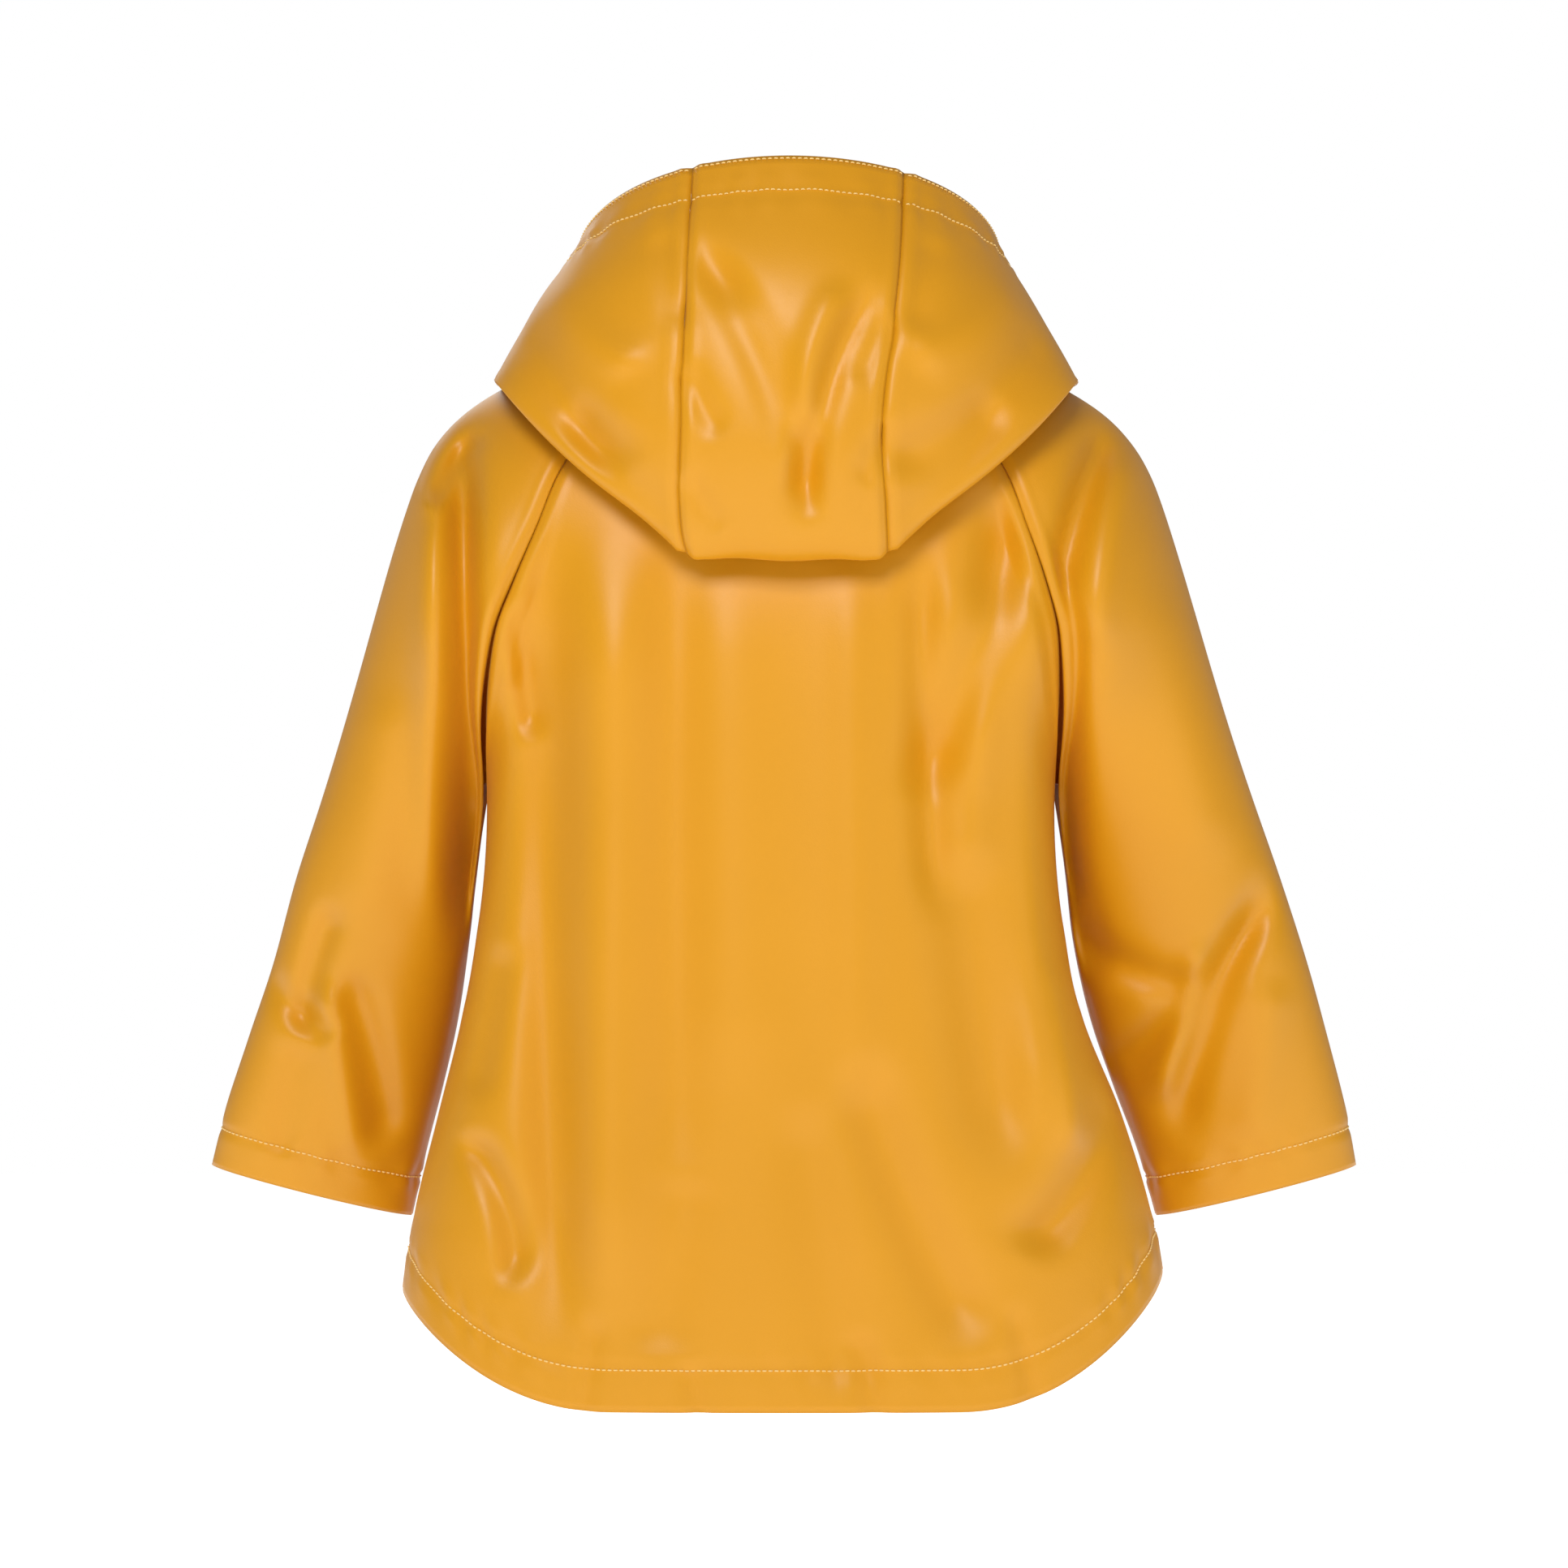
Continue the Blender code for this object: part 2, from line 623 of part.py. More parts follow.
def make_snap(number, material):
    """One snap cap: a low dome on the outer face of the upper front, on the centre line."""
    share = number / (SNAP_COUNT - 1)
    z = SNAP_TOP_Z + (SNAP_BOTTOM_Z - SNAP_TOP_Z) * share
    slope = float(at_height("front_y", z - 1) - at_height("front_y", z + 1)) / 2
    profile = [(SNAP_RADIUS, 0.0), (SNAP_RADIUS, 0.5), (SNAP_RADIUS * 0.86, 1.3), (SNAP_RADIUS * 0.5, SNAP_HEIGHT)]
    turn = np.linspace(0, 2 * math.pi, SNAP_SIDES, endpoint=False)
    points = [(radius * math.cos(a), radius * math.sin(a), out) for radius, out in profile for a in turn]
    top = len(points) - SNAP_SIDES
    faces = [list(range(SNAP_SIDES))[::-1], list(range(top, top + SNAP_SIDES))]
    for start in range(0, top, SNAP_SIDES):
        for k in range(SNAP_SIDES):
            follower = (k + 1) % SNAP_SIDES
            faces.append((start + k, start + follower, start + SNAP_SIDES + follower, start + SNAP_SIDES + k))
    mesh = bpy.data.meshes.new(f"snap_{number + 1}")
    mesh.from_pydata([tuple(np.array(p) * MM) for p in points], [], faces)
    mesh.materials.append(material)
    snap = bpy.data.objects.new(mesh.name, mesh)
    bpy.context.scene.collection.objects.link(snap)
    lean = math.atan(slope)
    out = OVERLAP_LIFT / math.cos(lean) + SNAP_SEAT
    away = np.array([0.0, -math.cos(lean), -math.sin(lean)])
    middle = np.array([0.0, float(at_height("front_y", z)), z]) + away * out
    snap.location = tuple(middle * MM)
    snap.rotation_euler = (math.pi / 2 + lean, 0.0, 0.0)


def clear_scene():
    for thing in list(bpy.data.objects):
        bpy.data.objects.remove(thing)


def main():
    clear_scene()
    cloth = cloth_material()
    make_back(cloth)
    make_front_left(cloth)
    make_front_right(cloth)
    make_sleeve("sleeve_left", 1, SLEEVE_BACK_FOLDS_LEFT, cloth)
    make_sleeve("sleeve_right", -1, SLEEVE_BACK_FOLDS_RIGHT, cloth)
    make_hood_middle(cloth)
    make_hood_side("hood_left", 1, cloth)
    make_hood_side("hood_right", -1, cloth)
    enamel = snap_material()
    for number in range(SNAP_COUNT):
        make_snap(number, enamel)


main()
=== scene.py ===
"""A child's hooded raincoat in coated cloth, filled out as if worn, with the hood down.

Run as a script, it builds every piece of the coat round its fixed frame: eight pieces of cloth
with their turned hems, folds and stitching, the snaps of the closure, and a plain white stage.
The wearer faces -Y, the wearer's left is +X, and the tables and sizes are in millimetres.
"""

import math

import bpy
import numpy as np
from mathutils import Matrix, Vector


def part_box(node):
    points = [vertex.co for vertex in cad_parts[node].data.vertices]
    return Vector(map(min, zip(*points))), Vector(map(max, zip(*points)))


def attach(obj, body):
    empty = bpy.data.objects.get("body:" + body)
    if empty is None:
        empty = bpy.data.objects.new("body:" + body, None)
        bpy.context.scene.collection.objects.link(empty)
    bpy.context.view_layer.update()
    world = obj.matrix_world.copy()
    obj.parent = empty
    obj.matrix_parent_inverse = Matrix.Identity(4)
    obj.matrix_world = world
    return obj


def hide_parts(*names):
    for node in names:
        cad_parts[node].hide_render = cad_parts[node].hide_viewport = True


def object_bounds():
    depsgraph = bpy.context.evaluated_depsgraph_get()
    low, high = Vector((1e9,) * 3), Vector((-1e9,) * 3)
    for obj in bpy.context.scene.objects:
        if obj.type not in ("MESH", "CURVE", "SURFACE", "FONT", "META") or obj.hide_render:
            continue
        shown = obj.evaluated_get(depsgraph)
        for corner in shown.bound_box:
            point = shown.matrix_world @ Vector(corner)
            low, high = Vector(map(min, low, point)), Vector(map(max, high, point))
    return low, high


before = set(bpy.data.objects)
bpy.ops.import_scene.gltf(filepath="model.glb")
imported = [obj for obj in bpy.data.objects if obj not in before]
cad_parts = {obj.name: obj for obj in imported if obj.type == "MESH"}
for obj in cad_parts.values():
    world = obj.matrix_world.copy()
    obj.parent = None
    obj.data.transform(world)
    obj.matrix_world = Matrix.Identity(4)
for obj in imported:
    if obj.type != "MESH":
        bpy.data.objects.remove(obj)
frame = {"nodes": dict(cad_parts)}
CAD_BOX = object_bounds()

bl_info = {
    "name": "Hooded raincoat",
    "version": (1, 0, 0),
    "blender": (4, 5, 0),
    "location": "3D View > Sidebar > Raincoat",
    "description": "Builds a child's raincoat with a hood, raglan sleeves and a shirt-tail hem",
    "category": "Object",
}

MM = 0.001

# Driving sizes, for a child of about 104 cm
CLOTH = 1.2  # thickness of the coated cloth
SEAM_GAP = 0.05  # air between two pieces that are sewn together
ARMPIT_Z = -195.0  # height of the underarm point below the neck
HEM_BACK_Z = -497.0  # the shirt-tail hem: long at the back,
HEM_SIDE_Z = {1: -445.0, -1: -436.0}  # high at the left and the right side seams,
HEM_FRONT_Z = -474.0  # and a little shorter at the front
HEM_FLAT = 0.44  # share of each half that stays level
OVERLAP_HALF = 13.0  # each front runs this far past the centre line
OVERLAP_LIFT = CLOTH + 0.8  # how far the upper front is moved out over the lower one
SNAP_RADIUS = 6.5
SNAP_HEIGHT = 2.2
SNAP_COUNT = 5
SNAP_TOP_Z = -72.0
SNAP_BOTTOM_Z = -420.0

# Neckline, as an oval in plan whose height falls towards the front
NECK = {"half_width": 74.0, "mid_y": -4.0, "back_y": 47.0, "front_y": -58.0,
        "back_z": 2.0, "side_z": 12.0, "front_z": -48.0}

# Raglan seams, from the neck (row 0) to the underarm (last row).  A row gives the seam's point,
# how much nearer the middle it is on the coat's right, the height of the same row at the middle
# of the body, and the heading of the body cloth as it reaches the seam and of the sleeve cloth
# as it leaves it (degrees, from straight out to the side towards the far face).
SEAM_COLUMNS = (
    "x", "y", "z", "right_in", "middle_z",
    "body_heading", "body_reach", "sleeve_heading", "rise", "sleeve_reach",
)
BACK_SEAM = [
    (56, 33, 8, 0, 2, 45, 20, 45, 0.30, 14),
    (82, 57, -12, 0, -14, 26, 28, 26, 0.45, 16),
    (106, 74, -44, 1, -38, 14, 38, 12, 0.50, 20),
    (119, 79, -75, 2, -66, 12, 48, 4, 0.45, 26),
    (130, 79, -101, 4, -90, 18, 50, -12, 0.35, 32),
    (139, 74, -124, 7, -114, 28, 50, -30, 0.25, 38),
    (144, 61, -149, 10, -140, 44, 52, -50, 0.15, 46),
    (147, 42, -171, 12, -162, 62, 54, -70, 0.08, 56),
    (147, 20, -187, 13, -181, 78, 66, -82, 0.0, 66),
    (145, -4, -195, 13, -195, 90, 81.6, -90, 0.0, 74),
]
FRONT_SEAM = [
    (52, -46, -14, 0, -48, 38, 18, 38, 0.20, 14),
    (70, -63, -32, 0, -56, 26, 24, 26, 0.35, 16),
    (92, -76, -62, 1, -72, 18, 32, 14, 0.45, 22),
    (108, -83, -92, 2, -92, 18, 38, 4, 0.40, 28),
    (121, -84, -118, 4, -112, 24, 42, -12, 0.30, 36),
    (131, -79, -140, 7, -131, 34, 46, -30, 0.20, 44),
    (138, -67, -160, 10, -150, 48, 50, -50, 0.12, 52),
    (142, -50, -177, 12, -168, 64, 58, -70, 0.05, 60),
    (144, -28, -189, 13, -183, 78, 64, -82, 0.0, 68),
    (145, -4, -195, 13, -195, 90, 77.6, -90, 0.0, 74),
]

# Outer line of the sleeve, over the shoulder and down the arm, how much nearer the middle it is
# on the coat's left, and how far the cloth reaches back and forward from it before it turns.
# Rows 0 to 9 pair with the seam rows.
OUTER_COLUMNS = ("x", "y", "z", "left_in", "reach")
SLEEVE_OUTER = [
    (74, -4, 12, 0, 18),
    (103, -5, 9, 0, 30),
    (131, -6, 0, 0, 40),
    (155, -7, -14, 0, 48),
    (171, -8, -30, 0, 54),
    (182, -9, -49, 1, 58),
    (191, -10, -74, 1, 62),
    (199, -11, -100, 1, 65),
    (206, -13, -127, 1, 68),
    (215, -15, -154, 2, 70),
    (230, -19, -199, 3, 66),
    (246, -25, -244, 4, 62),
    (261, -32, -288, 7, 59),
    (272, -40, -325, 5, 56),
    (281, -47, -359, 2, 51),
    (287, -53, -389, 0, 44),
]
# Underarm line of the sleeve below the armpit, rows 9 to 15 of the sleeve
INNER_COLUMNS = ("x", "y", "z", "right_in", "reach")
SLEEVE_INNER = [
    (145, -4, -195, 13, 74),
    (152, -18, -236, 13, 68),
    (157, -30, -276, 13, 62),
    (163, -41, -315, 10, 57),
    (171, -50, -349, 6, 53),
    (180, -57, -383, 2, 49),
    (187, -62, -415, 0, 44),
]

# Body below the neck, by height: how far back and forward the middle of the cloth is, and the
# half width and the fore-and-aft place of the side seam
BODY_COLUMNS = ("z", "back_y", "front_y", "side_x", "right_in", "side_y")
BODY = [
    (2, 47, -36, 145, 13, -4),
    (-16, 62, -46, 145, 13, -4),
    (-48, 79, -58, 145, 13, -4),
    (-72, 87, -74, 145, 13, -4),
    (-110, 93, -88, 145, 13, -4),
    (-150, 96, -96, 145, 13, -4),
    (-195, 98, -101, 145, 13, -4),
    (-235, 99, -104, 146, 13, 2),
    (-270, 100, -106, 150, 13, 8),
    (-310, 101, -108, 157, 12, 12),
    (-360, 103, -110, 169, 4, 12),
    (-410, 105, -112, 181, 1, 9),
    (-445, 106, -113, 187, 0, 6),
    (-508, 108, -114, 190, 0, 4),
]
BODY_SQUARENESS = 0.80  # of the body's quarter curves; 0.55 is a true ellipse

# Rings of the hood, from the neck seam out over the back, round the fold and up to the face
# edge.  Each is an oval in plan; "full" under 1 fills its back corners, and "lift" and "droop"
# shape how its height runs from the side to the middle of the back and of the front.  The last
# columns are where the seams of the middle panel cross the ring, on the coat's left and right,
# and how far the ring leans to the left.
RING_COLUMNS = (
    "half_width", "mid_y", "back_y", "front_y", "back_z", "side_z", "front_z",
    "full", "lift", "droop", "left_x", "right_x", "lean",
)
HOOD_RINGS = [
    (74, -4, 47, -58, 2, 12, -48, 1.00, 2.0, 2.0, 44, 44, 0),
    (79, -4, 57, -63, 13, 22, -43, 0.90, 2.0, 2.2, 46, 46, 0),
    (112, 0, 88, -70, -40, 21, -41, 0.60, 2.0, 2.6, 49, 49, 0),
    (134, 3, 101, -75, -84, 8, -41, 0.47, 2.0, 3.0, 49, 49, 0),
    (142, 4, 112, -79, -92, -2, -41, 0.48, 2.0, 3.0, 48, 49, -1),
    (138, 5, 124, -81, -77, 7, -38, 0.55, 1.8, 3.0, 51, 48, -1),
    (130, 6, 133, -81, -30, 22, -34, 0.70, 1.6, 2.6, 50, 46, -1),
    (118, 4, 124, -80, 40, 43, -30, 0.85, 1.3, 2.2, 48, 54, -1),
    (103, -8, 88, -77, 102, 63, -28, 0.95, 1.0, 2.0, 47, 56, -2.5),
]

# Folds, as strokes on the faces of the coat.  A stroke runs from (x0, z0) to (x1, z1), bows
# sideways, and is width wide at half its depth.  Depth is out of the cloth, so a trough is
# negative and a ridge positive.
FOLD_COLUMNS = ("x0", "z0", "x1", "z1", "bow", "width", "depth")
BACK_FOLDS = [
    (113, -104, 106, -440, 2, 26, -8.5),
    (80, -110, 88, -430, 3, 34, 4.5),
    (134, -112, 121, -172, -2, 12, -4.0),
    (126, -106, 133, -150, 0, 9, 2.0),
    (28, -110, 22, -330, 0, 34, 2.0),
    (52, -96, 50, -380, 0, 24, -2.6),
    (-32, -104, -34, -330, 0, 20, 1.8),
    (-66, -100, -72, -250, 2, 15, -3.6),
    (-108, -68, -70, -195, -4, 22, -7.0),
    (-94, -110, -88, -240, 0, 22, 3.6),
    (-84, -190, -104, -370, 5, 28, -4.2),
    (-120, -110, -126, -360, 0, 22, 4.0),
    (136, -280, 148, -345, 0, 14, -3.0),
    (150, -370, 128, -432, -6, 14, -5.0),
    (-134, -286, -140, -372, 0, 14, 3.5),
    (-158, -352, -118, -418, -6, 20, -6.0),
    (-38, -340, -88, -456, 4, 24, -4.2),
    (-10, -360, -26, -480, 0, 24, -2.2),
    (46, -390, 60, -465, 0, 24, -1.8),
    (44, -476, 40, -500, 0, 8, -1.6),
    (-36, -462, -44, -500, 0, 10, -2.0),
    (90, -455, 96, -500, 0, 9, -1.3),
    (-110, -450, -120, -500, 0, 9, -1.4),
]
FRONT_FOLDS_LEFT = [
    (118, -120, 110, -430, 0, 24, -4.5),
    (86, -140, 92, -420, 3, 26, 2.5),
    (54, -110, 62, -400, 0, 20, -2.5),
    (136, -290, 146, -340, 0, 13, -4.0),
    (150, -370, 122, -430, -6, 18, -5.0),
    (32, -380, 42, -468, 0, 20, -1.8),
    (100, -84, 74, -190, 4, 18, -3.5),
]
FRONT_FOLDS_RIGHT = [
    (-112, -110, -106, -410, 0, 26, -4.0),
    (-78, -130, -90, -420, 3, 24, 2.8),
    (-50, -120, -52, -380, 0, 22, -2.2),
    (-134, -280, -142, -350, 0, 14, -4.0),
    (-148, -360, -116, -420, 6, 18, -5.0),
    (-40, -370, -62, -460, 0, 20, -2.4),
    (-104, -80, -72, -180, -4, 18, -3.5),
]
SLEEVE_BACK_FOLDS_LEFT = [
    (156, -36, 158, -262, -3, 13, -12.0),
    (171, -60, 173, -250, 0, 14, 3.5),
    (150, -30, 168, -62, 4, 10, -4.0),
    (186, -24, 172, -66, 5, 12, 3.0),
    (222, -262, 238, -318, 2, 12, -3.6),
    (212, -296, 198, -372, -2, 15, -4.4),
    (256, -294, 224, -322, 2, 12, -3.0),
    (224, -300, 212, -380, 0, 14, 3.0),
    (240, -330, 250, -380, 0, 16, -2.0),
    (196, -160, 206, -260, 0, 26, 2.0),
]
SLEEVE_BACK_FOLDS_RIGHT = [
    (-156, -28, -131, -120, 4, 13, -7.0),
    (-170, -40, -150, -130, 4, 16, 3.0),
    (-136, -120, -139, -250, 0, 13, -8.0),
    (-136, -236, -154, -296, -4, 13, -3.6),
    (-142, -270, -200, -298, 5, 15, -4.6),
    (-236, -252, -162, -340, -6, 16, -4.8),
    (-232, -262, -197, -366, 4, 15, -4.5),
    (-205, -280, -186, -350, 0, 13, 3.5),
    (-240, -300, -232, -370, 0, 18, 2.0),
    (-190, -110, -205, -230, 0, 30, 2.0),
]
SLEEVE_FRONT_FOLDS_LEFT = [
    (158, -50, 152, -240, -3, 14, -8.0),
    (176, -80, 180, -230, 0, 16, 3.0),
    (160, -262, 222, -296, 5, 13, -6.0),
    (164, -290, 226, -270, -4, 13, -4.5),
    (204, -300, 212, -370, 2, 14, -3.5),
]
SLEEVE_FRONT_FOLDS_RIGHT = [
    (-152, -46, -146, -230, 3, 14, -7.0),
    (-172, -90, -176, -230, 0, 18, 3.0),
    (-152, -256, -214, -288, -5, 13, -6.0),
    (-160, -300, -232, -272, 4, 14, -4.5),
    (-198, -296, -214, -368, 2, 14, -3.5),
]
HOOD_FOLDS = [
    (38, 52, -10, -66, -7, 15, -4.6),
    (24, 30, -2, -50, -6, 12, 3.0),
    (-38, 30, -10, -62, 6, 12, -3.5),
    (-24, 34, -10, -30, 5, 14, 3.0),
    (47, -4, 32, -32, 0, 10, -1.8),
    (-48, 22, -34, -6, 0, 10, -1.8),
    (47, -54, 32, -76, 0, 9, -1.3),
    (-48, -30, -36, -54, 0, 9, -1.3),
    (124, 22, 78, -44, 6, 18, -4.4),
    (110, 40, 72, 0, 6, 18, 3.0),
    (-124, 18, -52, -46, -8, 20, -4.8),
    (-110, 40, -62, 4, -6, 20, 3.0),
    (100, -22, 58, -76, 4, 18, -2.8),
    (-100, -20, -58, -76, -4, 18, -2.8),
    (60, 62, 50, 20, 0, 12, -2.0),
    (-70, 60, -60, 20, 0, 14, -2.0),
]

FOLD_TAPER = 0.25  # share of a stroke's length over which each of its ends fades
HALF_DEPTH = 2.77  # makes a stroke half as deep at half its width from its line
FOLD_FADE = 0.12  # share of a body piece over which its folds die out towards a seam

HOOD_CORNER_DROP = 8.0  # how far the hood's lower corners hang below its curve
HOOD_CORNER_X = 46.0
HOOD_CORNER_WIDTH = 18.0
HOOD_FOLD_ROW = 4  # the ring round which the hood folds up

# Seams, hems and stitching.  An edge of a grid is its axis and whether it is the last one.
BOTH_SIDES_SEWN = [(1, False), (1, True)]
SEAM_SINK = 1.3  # how deep a sewn edge sinks,
SEAM_SINK_WIDTH = 2.4  # over this distance,
SEAM_ROLL = 0.5  # and how high the cloth rolls up beside it,
SEAM_ROLL_AT = 5.5  # this far from the edge
SLACK_FADE = 14.0  # the small waves die out over this distance from a seam
HEM_SLACK_FADE = 40.0  # and over this one from a hem
STITCH_SINK = 0.9  # how deep the thread pulls the cloth in,
STITCH_SINK_WIDTH = 2.2  # over this distance
PUCKER_REACH = 7.0  # how far from the stitching the cloth puckers
HEM_STEP = 0.8  # half the width of the step where a hem's second layer ends
HEM_EDGE_STITCH = 1.6  # from the hood's face edge to its outer row of stitching
CLOSURE_EDGE_STITCH = 2.5  # and from the closure's edge
STITCH_SIDES = 6
# A stitch's outline: place along its half length, and thickness and height as shares of the
# thread's radius
STITCH_OUTLINE = [(-1, 0.45, -0.5), (-0.7, 0.9, 0.3), (0, 1, 0.7), (0.7, 0.9, 0.3), (1, 0.45, -0.5)]
STITCH_RINGS = len(STITCH_OUTLINE)

# Snap caps: radius and height along the outline, as shares of the cap's own
SNAP_TURNS = 48
SNAP_SUNK = 0.08  # between a cap and the cloth under it
SNAP_TOLERANCE = 0.01  # metres that a cap's middle may be from its solid's
SNAP_OUTLINE = [
    (0.98, 0.00), (1.00, 0.12), (0.99, 0.26), (0.95, 0.38), (0.89, 0.44), (0.84, 0.42),
    (0.80, 0.46), (0.70, 0.66), (0.55, 0.84), (0.38, 0.95), (0.20, 0.99), (0.08, 1.00),
]

# Stage, in metres
CAMERA_Y = 2.898
CAMERA_Z = -0.1984
FLOOR_HALF = 4.0
# Name, place and size of each light, and its power as a share of the main one's
LIGHTS = [
    ("key_light", (0.35, 2.1, 1.05), (0.8, 0.8), 1.0),
    ("fill_light", (-1.6, 1.7, 0.2), (1.4, 1.8), 0.14),
    ("front_light", (0.4, -2.2, 1.2), (1.6, 1.6), 0.45),
]

# Number of quads along each piece
YOKE_ROWS = 56
SKIRT_ROWS = 84
ARM_ROWS = 84
HOOD_ROWS = 110
BACK_COLUMNS = 200
FRONT_COLUMNS = 96
SLEEVE_COLUMNS = 160
HOOD_MIDDLE_COLUMNS = 60
HOOD_SIDE_COLUMNS = 96

SOFTENED_ROWS = 26  # how many rows on each side of the underarm are rounded together,
SOFTENED_PASSES = 120  # and how often
BODY_EDGE = 0.9999  # where the body's pieces end, short of their seams
SLEEVE_EDGE = 0.0002  # where the sleeves start, past their seams

# Curves


def column(rows, columns, name):
    """One named column of a table."""
    return np.array([row[columns.index(name)] for row in rows], float)


def follow(values, at):
    """A smooth curve through equally spaced values, read at fractional places."""
    last = len(values) - 1
    place = np.clip(at, 0, last)
    low = np.minimum(place.astype(int), last - 1)
    part = place - low
    slope = np.gradient(values)
    square, cube = part**2, part**3
    return (
        values[low] * (2 * cube - 3 * square + 1)
        + slope[low] * (cube - 2 * square + part)
        + values[low + 1] * (3 * square - 2 * cube)
        + slope[low + 1] * (cube - square)
    )


def follow_table(rows, columns, at):
    """All columns of a table, read at fractional rows, as a dictionary."""
    return {name: follow(column(rows, columns, name), at) for name in columns}


def at_height(name, z):
    """A column of the body's table at the given heights."""
    heights = -column(BODY, BODY_COLUMNS, "z")
    place = np.interp(-z, heights, np.arange(len(heights)))
    return follow(column(BODY, BODY_COLUMNS, name), place)


def bezier(start, start_handle, end_handle, end, along):
    """Points of a cubic Bezier curve."""
    t = along[..., None]
    return (
        start * (1 - t) ** 3
        + start_handle * 3 * t * (1 - t) ** 2
        + end_handle * 3 * t**2 * (1 - t)
        + end * t**3
    )


def point(x, y, z):
    """An array of points from three arrays or numbers."""
    return np.stack(np.broadcast_arrays(x, y, z), axis=-1).astype(float)


def ease(value):
    """0 below 0, 1 above 1, and smooth between."""
    clipped = np.clip(value, 0, 1)
    return clipped**2 * (3 - 2 * clipped)


def ring_point(ring, angle):
    """A point of an oval ring.  The angle is 0 at the back and 180 degrees at the front."""
    forward = np.cos(angle)
    behind = forward > 0
    share = np.abs(forward)
    reach = np.where(behind, ring["back_y"], ring["front_y"]) - ring["mid_y"]
    rise = np.where(behind, ring["back_z"], ring["front_z"]) - ring["side_z"]
    full = np.where(behind, ring["full"], 1.0)
    lift = np.where(behind, ring["lift"], ring["droop"])
    return point(
        ring["half_width"] * np.sin(angle),
        ring["mid_y"] + reach * share**full,
        ring["side_z"] + rise * share**lift,
    )


def neck_point(angle):
    """A point of the neckline."""
    return ring_point({**NECK, "full": 1.0, "lift": 2.0, "droop": 2.0}, angle)


def neck_angle(x, behind):
    """The neckline's angle where it is x from the middle."""
    angle = math.asin(min(1.0, x / NECK["half_width"]))
    return angle if behind else math.pi - angle


def pulled_to_neck(points, first, angle, down):
    """Moves the top of a piece onto the neckline; the shift fades out down the piece."""
    fade = 1 - ease(down)
    return points + (neck_point(angle) - first) * fade[..., None]


# Body


def nearer(table, side):
    """A table's x, moved towards the middle on the coat's right."""
    return table["x"] - table["right_in"] * (side < 0)


def seam_frame(rows, place, face, side):
    """A raglan seam's points, and the directions and reaches of the cloth on its two sides."""
    seam = follow_table(rows, SEAM_COLUMNS, place)
    body = np.radians(seam["body_heading"])
    sleeve = np.radians(seam["sleeve_heading"])
    return {
        "at": point(nearer(seam, side), seam["y"], seam["z"]),
        "middle_z": seam["middle_z"],
        "body_way": point(np.cos(body), -face * np.sin(body), 0 * body),
        "body_reach": seam["body_reach"],
        "sleeve_way": point(np.cos(sleeve), -face * np.sin(sleeve), seam["rise"]),
        "sleeve_reach": seam["sleeve_reach"],
    }


def hem_height(middle_z, side, across):
    """The shirt-tail hem: flat in the middle, curving up to the side seam."""
    rest = 1 - across
    sideways = 3 * BODY_SQUARENESS * across * rest**2 + 3 * across**2 * rest + across**3
    curve = np.clip((sideways - HEM_FLAT) / (1 - HEM_FLAT), 0, 1) ** 2.1
    return middle_z + (HEM_SIDE_Z[side] - middle_z) * curve


def body_half(rows, face, side, down, across):
    """The body's cloth from the middle (across 0) to the seam (across 1), with x positive.

    down runs from 0 at the neck through 1 at the underarm to 2 at the hem; face is 1 for the
    back and -1 for the front; side is 1 for the coat's left and -1 for its right.
    """
    name = "back_y" if face > 0 else "front_y"
    hem_z = HEM_BACK_Z if face > 0 else HEM_FRONT_Z
    place = np.clip(down, 0, 1) * (len(rows) - 1)
    frame = seam_frame(rows, place, face, side)
    middle = point(0, at_height(name, frame["middle_z"]), frame["middle_z"])
    reach = BODY_SQUARENESS * frame["at"][..., 0]
    yoke = bezier(
        middle,
        middle + point(reach, 0 * reach, 0 * reach),
        frame["at"] - frame["body_way"] * frame["body_reach"][..., None],
        frame["at"],
        across,
    )
    z = ARMPIT_Z + (hem_height(hem_z, side, across) - ARMPIT_Z) * np.clip(down - 1, 0, 1)
    middle_y = at_height(name, z)
    side_x = at_height("side_x", z) - at_height("right_in", z) * (side < 0)
    side_y = at_height("side_y", z)
    skirt = bezier(
        point(0, middle_y, z),
        point(BODY_SQUARENESS * side_x, middle_y, z),
        point(side_x, side_y + BODY_SQUARENESS * (middle_y - side_y), z),
        point(side_x, side_y, z),
        across,
    )
    return np.where((down < 1)[..., None], yoke, skirt)


def body_piece(rows, face, side, down, across):
    """body_half with its top edge on the neckline."""
    points = body_half(rows, face, side, down, across)
    top = body_half(rows, face, side, 0 * down, across)
    middle = 0 if face > 0 else math.pi
    angle = middle + (neck_angle(rows[0][0], face > 0) - middle) * across
    return pulled_to_neck(points, top, angle, down * 3.0)


# Sleeves


